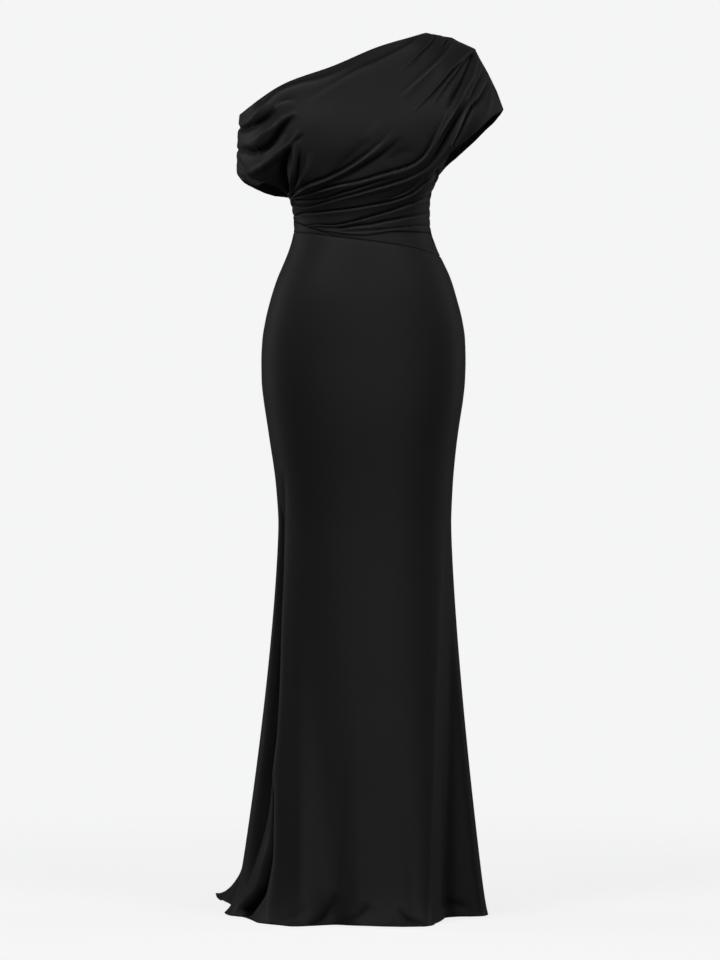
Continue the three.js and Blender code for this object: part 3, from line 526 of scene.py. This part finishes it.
def in_depth(level, y):
    """Height of a drawn level once it stands at its own depth."""
    return EYE_HEIGHT + (level - EYE_HEIGHT) * (1 + y / EYE_DISTANCE)


def as_seen(points):
    """Points as they are drawn: x and z where the line from the eye meets the plane y = 0."""
    nearer = 1 + points[..., 1] / EYE_DISTANCE
    return points[..., 0] / nearer, EYE_HEIGHT + (points[..., 2] - EYE_HEIGHT) / nearer


def ring(level, angle, grow=0):
    """Points of the close section at a level, grown outwards by a layer."""
    level, angle = np.broadcast_arrays(np.asarray(level, float), np.asarray(angle, float))
    left = torso["left"](level) - grow
    right = torso["right"](level) + grow
    depth = np.where(angle < 180, torso["front"](level), torso["back"](level)) + grow
    square = torso["square"](level)
    c, s = np.cos(np.radians(angle)), np.sin(np.radians(angle))
    reach = (np.abs(c) ** square + np.abs(s) ** square) ** (-1 / square)
    x = (left + right) / 2 - (right - left) / 2 * reach * c
    return np.stack([x, -depth * reach * s, level], axis=-1)


def skirt_top(angle):
    """Level of the skirt's upper seam."""
    front = front_seam(across(angle))
    front = in_depth(front, ring(front, angle)[..., 1])
    return np.where((angle > 180) & (angle < 360), back_seam(across(angle)), front)


def skirt(angle, down):
    """Skirt surface: 0 is its upper seam, 1 the knee and 2 the hem."""
    upper = ring(mix(skirt_top(angle), KNEE, np.minimum(down, 1)), angle)
    below = np.clip(down - 1, 0, 1)
    knee = ring(KNEE, angle)
    opened = below ** hem["late"](angle)
    trail = hem["trail"](angle)
    level = KNEE * (1 - below) ** trail
    lying = np.clip((trail - 1) / LIES_FLAT, None, 1) * CAD_CLOTH * below
    kick = hem["spread"](angle) * np.exp(-level / SPREAD_HEIGHT)
    lower = np.stack([
        mix(knee[..., 0], hem["x"](angle), opened) - kick * np.cos(np.radians(angle)),
        mix(knee[..., 1], hem["y"](angle), opened) - kick * np.sin(np.radians(angle)),
        level + lying,
    ], axis=-1)
    return np.where((down <= 1)[..., None], upper, lower)


def guide(line, name, w):
    """One guide line's x or z along the panel, straight in its last quarter at the right cuff."""
    bent_line = curve(QUARTERS, line[name])(w)
    straight = smooth(w, *LAST_QUARTER) * line.get("cuff", False)
    return mix(bent_line, np.interp(w, QUARTERS, line[name]), straight)


def bent(places, values, up, w):
    """Values between the guide lines: on a smooth curve, and straight at the right cuff's sharp tip."""
    k = np.clip(up.astype(int), 0, len(places) - 2)
    values = np.array(values)
    straight = mix(values[k], values[k + 1], (up - k)[:, None])
    return mix(curve(places, values)(up), straight, smooth(w, *CUFF_STRAIGHT))


def drape(lines, up, w):
    """Drawn points of a bodice panel, row by row, with how far its sleeve edges stand open."""
    places = np.arange(len(lines))
    x, z = (bent(places, [guide(line, name, w) for line in lines], up, w) for name in "xz")
    ends = np.array([line.get("open", CLOSED) for line in lines])
    open_left, open_right = (np.interp(up, places, ends[:, end]) for end in (0, 1))
    return x, z, open_left[:, None], open_right[:, None]


def rounded_to(edge, from_seam):
    """Share of the depth near a seam, which starts at the edge and rises in a quarter round."""
    near = np.clip(1 - from_seam / SEAM_ROUND, 0, None)
    return np.sqrt(1 - (1 - edge * edge) * near * near)


def loose_depth(depth, x, z, open_left, open_right, w):
    """How far the loose cloth of the upper bodice stands from the side plane."""
    closes = np.where(x < 0, closes_left(z), closes_right(z))
    section = np.sqrt(np.clip(1 - (x / closes) ** 2, 0, None))
    return depth(z) * section * rounded_to(open_left, w) * rounded_to(open_right, 1 - w)


def bodice_front(turn, up):
    """Front of the bodice: close round the waist and loose above it."""
    angle = 180 * turn
    w = across(angle)
    x, z, open_left, open_right = drape(FRONT_LINES, up, w)
    y = -loose_depth(front_depth, x, z, open_left, open_right, w) - SEAM_GAP / 2
    close = ring(in_depth(z, ring(z, angle)[..., 1]), angle, BODICE_OVER_SKIRT)
    close[..., 1] -= SEAM_GAP / 2
    free = np.stack([x * (1 + y / EYE_DISTANCE), y, in_depth(z, y)], axis=-1)
    return mix(close, free, smooth(z, CLOSE_UP_TO, LOOSE_FROM)[..., None])


def bodice_back(turn, up):
    """Back of the bodice, close where it meets the skirt."""
    w = across(180 * turn)
    x, z, open_left, open_right = drape(BACK_LINES, up, w)
    y = loose_depth(back_depth, x, z, open_left, open_right, w) + SEAM_GAP / 2
    over = BODICE_OVER_SKIRT * smooth(z - back_seam(w), 0, BACK_STEP_HEIGHT)
    close = ring(z, 360 - 180 * turn, over)
    close[..., 1] += SEAM_GAP / 2
    free = np.stack([x, y, z], axis=-1)
    return mix(close, free, smooth(z, CLOSE_UP_TO, LOOSE_FROM)[..., None])


def waist_wrap(turn, up):
    """The plain band between the skirt and the bodice front, tucked in under the bodice."""
    angle = 180 * turn
    lower_edge = curve(QUARTERS, FRONT_LINES[0]["z"])(across(angle))
    bottom = skirt_top(angle) + SEAM_GAP
    top = in_depth(lower_edge, ring(lower_edge, angle)[..., 1]) + WRAP_TUCKED_IN
    points = ring(mix(bottom, top, up[:, None]), angle)
    points[..., 1] -= SEAM_GAP / 2
    return points


def evenly(places, points, axis, count, closer=lambda place: 1):
    """Places that lie evenly apart over a grid of points, along one axis, and closer where asked."""
    steps = np.linalg.norm(np.diff(points, axis=axis), axis=-1).mean(axis=1 - axis) * closer(places[1:])
    along = np.concatenate([[0], np.cumsum(steps)])
    return np.interp(np.linspace(0, along[-1], count), along, places)


def eased(points, times):
    """Points with their bends evened out, and the edges of the grid left as they are."""
    points = points.copy()
    for _ in range(times):
        points[1:-1, 1:-1] += (points[:-2, 1:-1] + points[2:, 1:-1] - 2 * points[1:-1, 1:-1]) / 4
        points[1:-1, 1:-1] += (points[1:-1, :-2] + points[1:-1, 2:] - 2 * points[1:-1, 1:-1]) / 4
    return points


def along_line(values, t):
    """One value, or three along a line: at its start, middle and end."""
    if np.ndim(values) == 0:
        return np.full_like(t, values)
    return curve((0, 0.5, 1), values)(t)


def smooth_line(points, count=40):
    """A drawn line through its points, as evenly spaced places on a smooth curve."""
    points = np.array(points, float)
    steps = np.hypot(*np.diff(points, axis=0).T)
    along = np.concatenate([[0], np.cumsum(steps)])
    places = np.linspace(0, along[-1], count)
    tangents = np.gradient(points, along, axis=0)
    k = np.clip(np.searchsorted(along, places, side="right") - 1, 0, len(steps) - 1)
    t = ((places - along[k]) / steps[k])[:, None]
    rise = t * t * (3 - 2 * t)
    bend = tangents[k] * t * (1 - t) ** 2 - tangents[k + 1] * t * t * (1 - t)
    return points[k] * (1 - rise) + points[k + 1] * rise + bend * steps[k][:, None]


def fold_relief(folds, x, z):
    """Height that the folds add at drawn points."""
    relief = np.zeros_like(x)
    for one in folds:
        line = smooth_line(one["line"])
        reach = FADED["trough"] * max(np.max(one["soft"]), np.max(one["soft_below"]))
        reach += FADED["ridge"] * max(np.max(one["wide"]), np.max(one["wide_below"])) + abs(one["away"])
        low, high = line.min(axis=0) - reach, line.max(axis=0) + reach
        near = (x > low[0]) & (x < high[0]) & (z > low[1]) & (z < high[1])
        px, pz = x[near], z[near]
        best = np.full(px.shape, np.inf)
        side = np.zeros_like(px)
        t = np.zeros_like(px)
        for k in range(len(line) - 1):
            (ax, az), (bx, bz) = line[k], line[k + 1]
            dx, dz = bx - ax, bz - az
            s = np.clip(((px - ax) * dx + (pz - az) * dz) / (dx * dx + dz * dz), 0, 1)
            away = np.hypot(px - ax - s * dx, pz - az - s * dz)
            closer = away < best
            best = np.where(closer, away, best)
            side = np.where(closer, dx * (pz - az) - dz * (px - ax), side)
            t = np.where(closer, (k + s) / (len(line) - 1), t)
        above = side > 0
        d = np.where(above, best, -best) - one["away"]
        soft = np.where(above, along_line(one["soft"], t), along_line(one["soft_below"], t))
        wide = np.where(d > 0, along_line(one["wide"], t), along_line(one["wide_below"], t))
        trough = along_line(one["deep"], t) * np.exp(-((best / soft) ** TROUGH_SHARPNESS))
        ridge = along_line(one["lift"], t) * np.exp(-((np.abs(d) / wide) ** RIDGE_SHARPNESS))
        relief[near] += ridge - trough
    return relief


def pucker_relief(z, w):
    """Dips of the gathered seams, the same on both panels that meet there."""
    relief = np.zeros_like(z)
    for side, from_seam in (("left", w), ("right", 1 - w)):
        for level, deep, high in zip(*PUCKERS[side].values()):
            relief -= deep * np.exp(-(((z - level) / high) ** 2)) * np.exp(-from_seam / PUCKER_REACH)
    return relief


def normals(points, outward):
    """Normals of a grid of points, turned to the side that outward is on."""
    rows, cols = np.gradient(points, axis=0), np.gradient(points, axis=1)
    normal = np.cross(rows, cols)
    normal /= np.linalg.norm(normal, axis=-1, keepdims=True)
    # side by side at a seam, both panels rise the same way
    for edge in (0, -1):
        on_seam = np.abs(points[:, edge, 1]) < SEAM_GAP
        at_seam = on_seam | (np.abs(normal[:, edge, 1]) < AT_SEAM["facing"])
        normal[at_seam, edge, 1] = 0
    normal /= np.linalg.norm(normal, axis=-1, keepdims=True)
    middle = normal[normal.shape[0] // 2, normal.shape[1] // 2]
    return normal * np.sign(middle @ np.array(outward, float))


def set_inputs(node, inputs):
    """Give a node's inputs their values, by name or number."""
    for name, value in inputs.items():
        node.inputs[name].default_value = value


def add_node(nodes, kind, inputs=None, **settings):
    """A shader node with its settings, and then its inputs by name or number."""
    node = nodes.new(f"ShaderNode{kind}")
    for name, value in settings.items():
        setattr(node, name, value)
    set_inputs(node, inputs or {})
    return node


WALE = 0.45
COURSE = 0.6
STITCH_DEPTH = 0.06
TONES = (0.9, 1.12)
ROUGHNESS = (0.5, 0.62)
SATIN = {
    "Specular IOR Level": 0.22, "Sheen Weight": 0.04, "Sheen Roughness": 0.45,
    "Sheen Tint": (0.9, 0.92, 1, 1),
}


def jersey(name, base):
    """Near-black jersey: a fine knit, a soft satin face, slight changes of tone, and painted fold shade."""
    material = bpy.data.materials.new(name)
    material.use_nodes = True
    nodes, links = material.node_tree.nodes, material.node_tree.links
    shader = nodes["Principled BSDF"]
    set_inputs(shader, SATIN)
    place = add_node(nodes, "UVMap", uv_map="cloth")

    tone = add_node(nodes, "TexNoise", {"Scale": 14, "Detail": 3})
    links.new(place.outputs["UV"], tone.inputs["Vector"])
    dark, light = ((*(c * share for c in base), 1) for share in TONES)
    shades = add_node(nodes, "Mix", {"A": dark, "B": light}, data_type="RGBA")
    links.new(tone.outputs["Fac"], shades.inputs["Factor"])
    # painted shade and painted highlight of the folds, from a vertex colour, darken and lighten the colour
    # and specular tint
    folds = add_node(nodes, "VertexColor", layer_name="painted_fold_shade")
    shaded = add_node(nodes, "Mix", {"Factor": 1}, data_type="RGBA", blend_type="MULTIPLY")
    links.new(shades.outputs["Result"], shaded.inputs["A"])
    links.new(folds.outputs["Color"], shaded.inputs["B"])
    links.new(shaded.outputs["Result"], shader.inputs["Base Color"])
    links.new(folds.outputs["Color"], shader.inputs["Specular Tint"])

    gloss = add_node(nodes, "MapRange", {"To Min": ROUGHNESS[0], "To Max": ROUGHNESS[1]})
    links.new(tone.outputs["Fac"], gloss.inputs["Value"])
    links.new(gloss.outputs["Result"], shader.inputs["Roughness"])

    across_it = {"Scale": 1 / (WALE * MM) / 20 * math.pi}
    down_it = {"Scale": 1 / (COURSE * MM) / 20 * math.pi, "Distortion": 0.6}
    stitches = add_node(nodes, "Math", operation="MULTIPLY")
    for socket, (axis, inputs) in enumerate((("X", across_it), ("Y", down_it))):
        wave = add_node(nodes, "TexWave", inputs, bands_direction=axis)
        links.new(place.outputs["UV"], wave.inputs["Vector"])
        links.new(wave.outputs["Fac"], stitches.inputs[socket])
    knit = add_node(nodes, "Bump", {"Strength": 0.25, "Distance": STITCH_DEPTH * MM})
    links.new(stitches.outputs["Value"], knit.inputs["Height"])
    links.new(knit.outputs["Normal"], shader.inputs["Normal"])
    return material


def painted_fold_shade(relief):
    """Painted shade in the creases and deep valleys, and a painted highlight on the crests, as a grey."""
    bend = eased(relief, PAINTED_SHADE["spread"]) - relief
    hollow = PAINTED_SHADE["crease"] * bend - PAINTED_SHADE["valley"] * np.minimum(relief, 0)
    return np.clip(1 - hollow, PAINTED_SHADE["darkest"], PAINTED_SHADE["lightest"])


def quads(at):
    """Faces of a grid of vertex numbers."""
    return np.stack([at[:-1, :-1], at[:-1, 1:], at[1:, 1:], at[1:, :-1]], axis=-1).reshape(-1, 4)


def around(at):
    """Vertex numbers along the edge of a grid, once round."""
    return np.concatenate([at[0, :-1], at[:-1, -1], at[-1, :0:-1], at[:0:-1, 0]]).tolist()


def lowest(relief):
    """The lowest relief near each place, so that the inner wall stays behind every crease."""
    for axis in (0, 1):
        for _ in range(2):
            padded = np.pad(relief, [(1, 1) if k == axis else (0, 0) for k in (0, 1)], mode="edge")
            relief = np.minimum(np.minimum(np.take(padded, range(relief.shape[axis]), axis), relief),
                                np.take(padded, range(2, relief.shape[axis] + 2), axis))
    return relief


def cloth_piece(node, points, relief, outward, slot, flat, held, area=None):
    """A closed thin wall on a grid of points raised by relief, standing for its CAD node."""
    normal = normals(points, outward)
    # painted shade in the creases and painted highlight on the crests, worked out from the relief
    shade = painted_fold_shade(relief)
    relief = relief + STANDS_PROUD
    outer = points + normal * relief[..., None]
    inner = (points + normal * (lowest(relief) - CLOTH)[..., None])[::2, ::2]
    outer[..., 2] = np.maximum(outer[..., 2], 0)
    inner[..., 2] = np.maximum(inner[..., 2], 0)
    at = np.arange(relief.size).reshape(relief.shape)
    behind = np.arange(inner[..., 0].size).reshape(inner.shape[:2]) + relief.size
    rim, rim_behind = around(at), around(behind)
    rims = [
        (rim[(2 * k + 2) % len(rim)], rim[2 * k + 1], rim[2 * k], low, following)
        for k, (low, following) in enumerate(zip(rim_behind, rim_behind[1:] + rim_behind[:1]))
    ]
    faces = quads(at).tolist() + quads(behind)[:, ::-1].tolist() + rims
    sides = np.cross(outer[0, 1] - outer[0, 0], outer[1, 0] - outer[0, 0])
    if sides @ normal[0, 0] < 0:
        faces = [face[::-1] for face in faces]
    vertices = (np.concatenate([outer.reshape(-1, 3), inner.reshape(-1, 3)]) - SHOULDER) * MM

    mesh = bpy.data.meshes.new(f"{node}_cloth")
    mesh.from_pydata(vertices.tolist(), [], faces)
    layer = mesh.uv_layers.new(name="cloth")
    widths = np.linalg.norm(np.diff(points, axis=1), axis=-1).mean(axis=0)
    heights = np.linalg.norm(np.diff(points, axis=0), axis=-1).mean(axis=1)
    u = np.concatenate([[0], np.cumsum(widths)]) * MM
    v = np.concatenate([[0], np.cumsum(heights)]) * MM
    places = np.stack(np.meshgrid(u, v), axis=-1)
    places = np.concatenate([places.reshape(-1, 2), places[::2, ::2].reshape(-1, 2)])
    layer.uv.foreach_set("vector", places[np.concatenate(faces)].reshape(-1))
    shade = np.concatenate([shade.reshape(-1), shade[::2, ::2].reshape(-1)])
    # the painted shade and highlight are stored as a grey vertex colour
    tint = mesh.color_attributes.new("painted_fold_shade", "FLOAT_COLOR", "POINT")
    grey = np.stack([shade, shade, shade, np.ones_like(shade)], axis=-1)
    tint.data.foreach_set("color", grey.reshape(-1))
    mesh.polygons.foreach_set("use_smooth", np.ones(len(faces), bool))
    mesh.update()
    piece = bpy.data.objects.new(f"{node}_cloth", mesh)
    bpy.context.collection.objects.link(piece)
    mesh.materials.append(MATERIALS[slot])
    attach(piece, "root")
    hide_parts(node)


def seam_fade(w, start=FOLDS_START):
    """Folds start from nothing at both seams."""
    return smooth(w, 0, start) * smooth(1 - w, 0, start)


def seam_dip(points):
    """How far the first rows of a grid are drawn in at the seam they start from."""
    from_seam = np.linalg.norm(points - points[:1], axis=-1)
    return SEAM_DIP["deep"] * np.exp(-from_seam / SEAM_DIP["soft"])


MATERIALS = {
    "jersey_bodice": jersey("jersey_bodice", (0.0118, 0.0114, 0.0112)),
    "jersey_skirt": jersey("jersey_skirt", (0.0112, 0.0109, 0.0107)),
}


def skirt_rows(count):
    """Rows down the skirt, closer together near the hem."""
    t = np.linspace(0, 1, count - len(NEAR_SEAM))
    down = 2 * (1 - (1 - t) ** HEM_CLOSER)
    return np.concatenate([[0], NEAR_SEAM, mix(down[1:], 2, 0)])


def bodice_panel(node, lines, surface, folds, outward, back=False, **facts):
    turn, up = np.linspace(0, 1, TRIAL), np.linspace(0, len(lines) - 1, TRIAL)
    trial = surface(turn, up)
    turn = evenly(turn, trial, 1, COLUMNS["bodice"])
    waist = WAIST_LINES[node]
    up = evenly(up, trial, 0, ROWS[node], lambda place: np.where(place < waist, WAIST_CLOSER, 1))
    points = eased(surface(turn, up), EASED["bodice"])
    for edge in (0, -1):
        at_seam = np.abs(points[:, edge, 1]) < AT_SEAM["reach"]
        points[at_seam, edge, 1] = (SEAM_GAP if back else -SEAM_GAP) / 2
    x, z = (points[..., 0], points[..., 2]) if back else as_seen(points)
    w = across(180 * turn)[None, :]
    relief = fold_relief(folds, x, z) * seam_fade(w) + pucker_relief(z, w)
    cloth_piece(node, points, relief, outward, "jersey_bodice", **facts)


bodice_panel(
    "bodice_front", FRONT_LINES, bodice_front, BODICE_FOLDS, (0, -1, 0),
    flat=(0.64, 0.46), held="gathered", area=0.175,
)
bodice_panel(
    "bodice_back", BACK_LINES, bodice_back, BACK_FOLDS, (0, 1, 0), back=True,
    flat=(0.56, 0.38), held="hung", area=0.155,
)

wrap_turn = np.linspace(0, 1, COLUMNS["wrap"])
wrap_points = waist_wrap(wrap_turn, np.linspace(0, 1, ROWS["wrap"]))
wrap_relief = fold_relief(WRAP_FOLDS, *as_seen(wrap_points)) - seam_dip(wrap_points)
cloth_piece(
    "waist_wrap", wrap_points, wrap_relief, (0, -1, 0), "jersey_bodice",
    flat=(0.31, 0.06), held="gathered", area=0.0105,
)


def skirt_panel(node, seams, outward, folds, flat, area):
    gap = SEAM_GAP / 10
    angles = np.linspace(seams[0] + gap, seams[1] - gap, TRIAL)
    flared = skirt(*np.meshgrid(angles, np.linspace(*FLARED)))
    angles = evenly(angles, flared, 1, COLUMNS["skirt"])
    down = skirt_rows(ROWS["skirt"])[:, None]
    points = eased(skirt(*np.meshgrid(angles, down)), EASED["skirt"])
    w = across(angles)[None, :]
    relief = np.zeros(points.shape[:2])
    if folds:
        relief += fold_relief(folds, *as_seen(points))
    else:
        below = np.clip(down - 1, 0, 1)
        for angle, high, wide, start in zip(*TRAIN_FOLDS.values()):
            near = (angles[None, :] - angle) / wide
            trough = TRAIN_TROUGH["deep"] * np.exp(-((near / TRAIN_TROUGH["wide"]) ** 2))
            relief += high * (np.exp(-(near**2)) - trough) * smooth(below, start, 1)
    relief = relief * seam_fade(w) - seam_dip(points)
    cloth_piece(node, points, relief, outward, "jersey_skirt", flat=flat, held="hung", area=area)


skirt_panel("skirt_front", (0, 180), (0, -1, 0), SKIRT_FOLDS, (0.62, 1.25), 0.6)
skirt_panel("skirt_back", (180, 360), (0, 1, 0), None, (0.95, 1.35), 0.68)


# Studio: a pale floor that melts into the backdrop, soft light from the front and above, and softboxes
FLOOR = {"radius": 3.0, "fades_from": 0.5, "fades_to": 2.4, "glow": 0.86, "albedo": 0.3}
BACKDROP = (0.908, 0.912, 0.912)
ROOM_EVEN = 0.03
ROOM_LIGHT = [
    {"from": "above", "axis": "Z", "sign": 1, "strength": 0.05},
    {"from": "below", "axis": "Z", "sign": -1, "strength": 0.01},
    {"from": "the front", "axis": "Y", "sign": -1, "strength": 0.08},
    {"from": "behind", "axis": "Y", "sign": 1, "strength": 0.03},
]
SOFTBOXES = [
    {"name": "left", "place": (-1700, -2300, 3500), "aim": (0, 0, 1000), "size": (1200, 1200), "power": 34},
    {"name": "right", "place": (1700, -2300, 3500), "aim": (0, 0, 1000), "size": (1200, 1200), "power": 25},
    {"name": "front", "place": (0, -4200, 1900), "aim": (0, 0, 700), "size": (1500, 1500), "power": 19},
    {"name": "low", "place": (1500, -3800, 600), "aim": (60, 0, 450), "size": (1500, 1000), "power": 10},
    {"name": "left_rim", "place": (-2600, 900, 1500), "aim": (0, 0, 900), "size": (700, 2600), "power": 13},
    {"name": "right_rim", "place": (2600, 900, 1500), "aim": (0, 0, 900), "size": (700, 2600), "power": 9},
]


def paper_floor():
    """A pale floor under the dress that fades out into the backdrop."""
    bpy.ops.mesh.primitive_circle_add(
        vertices=128, radius=FLOOR["radius"], fill_type="NGON",
        location=(-SHOULDER[0] * MM, 0.1, -SHOULDER[2] * MM),
    )
    floor = bpy.context.object
    floor.name = "studio_floor"
    floor.visible_diffuse = False
    floor.visible_glossy = False
    paper = bpy.data.materials.new("studio_floor")
    paper.use_nodes = True
    nodes, links = paper.node_tree.nodes, paper.node_tree.links
    shader = nodes["Principled BSDF"]
    set_inputs(shader, {
        "Base Color": (FLOOR["albedo"],) * 3 + (1,), "Roughness": 1, "Specular IOR Level": 0,
        "Emission Color": (*BACKDROP, 1), "Emission Strength": FLOOR["glow"],
    })
    clear = add_node(nodes, "BsdfTransparent")
    fade = add_node(nodes, "MixShader")
    where = add_node(nodes, "TexCoord")
    distance = add_node(nodes, "VectorMath", operation="LENGTH")
    ends = {"From Min": FLOOR["fades_from"], "From Max": FLOOR["fades_to"]}
    spread = add_node(nodes, "MapRange", ends, interpolation_type="SMOOTHSTEP")
    links.new(where.outputs["Object"], distance.inputs[0])
    links.new(distance.outputs["Value"], spread.inputs["Value"])
    links.new(spread.outputs["Result"], fade.inputs["Fac"])
    links.new(shader.outputs["BSDF"], fade.inputs[1])
    links.new(clear.outputs["BSDF"], fade.inputs[2])
    links.new(fade.outputs["Shader"], nodes["Material Output"].inputs["Surface"])
    floor.data.materials.append(paper)
    return floor


def studio_world():
    """An even pale backdrop, and dimmer light from the room that comes mostly from some sides."""
    world = bpy.data.worlds.new("studio")
    world.use_nodes = True
    nodes, links = world.node_tree.nodes, world.node_tree.links
    backdrop = nodes["Background"]
    backdrop.inputs["Color"].default_value = (*BACKDROP, 1)
    room = add_node(nodes, "Background")
    direction = add_node(nodes, "TexCoord")
    parts = add_node(nodes, "SeparateXYZ")
    links.new(direction.outputs["Generated"], parts.inputs["Vector"])
    total = add_node(nodes, "Value", label="even").outputs[0]
    total.default_value = ROOM_EVEN
    for one in ROOM_LIGHT:
        share = {1: one["sign"] * one["strength"]}
        towards = add_node(nodes, "Math", share, operation="MULTIPLY", label=one["from"])
        kept = add_node(nodes, "Math", {1: 0}, operation="MAXIMUM")
        added = add_node(nodes, "Math", operation="ADD")
        links.new(parts.outputs[one["axis"]], towards.inputs[0])
        links.new(towards.outputs[0], kept.inputs[0])
        links.new(kept.outputs[0], added.inputs[0])
        links.new(total, added.inputs[1])
        total = added.outputs[0]
    links.new(total, room.inputs["Strength"])
    seen = add_node(nodes, "LightPath")
    choose = add_node(nodes, "MixShader")
    links.new(seen.outputs["Is Camera Ray"], choose.inputs["Fac"])
    links.new(room.outputs["Background"], choose.inputs[1])
    links.new(backdrop.outputs["Background"], choose.inputs[2])
    links.new(choose.outputs["Shader"], nodes["World Output"].inputs["Surface"])
    return world


def softbox(name, place, aim, size, power):
    """Square area light, placed and aimed in millimetres."""
    light = bpy.data.lights.new(f"{name}_softbox", "AREA")
    light.shape = "RECTANGLE"
    light.size, light.size_y = size[0] * MM, size[1] * MM
    light.energy = power
    lamp = bpy.data.objects.new(f"{name}_softbox", light)
    bpy.context.collection.objects.link(lamp)
    lamp.location = (np.array(place) - SHOULDER) * MM
    lamp.rotation_euler = Vector(np.array(aim) - np.array(place)).to_track_quat("-Z", "Y").to_euler()
    return lamp


paper_floor()
bpy.context.scene.world = studio_world()
for one in SOFTBOXES:
    softbox(**one)

lens = bpy.data.cameras.new("camera")
lens.sensor_width = 36
lens.lens = lens.sensor_width / 2 / (VIEW_HEIGHT / 2 / EYE_DISTANCE)
camera = bpy.data.objects.new("camera", lens)
bpy.context.collection.objects.link(camera)
camera.location = (np.array([0, -EYE_DISTANCE, EYE_HEIGHT]) - SHOULDER) * MM
camera.rotation_euler = (math.pi / 2, 0, 0)
lens.clip_end = 100
bpy.context.scene.camera = camera
bpy.context.scene.view_settings.view_transform = "Standard"
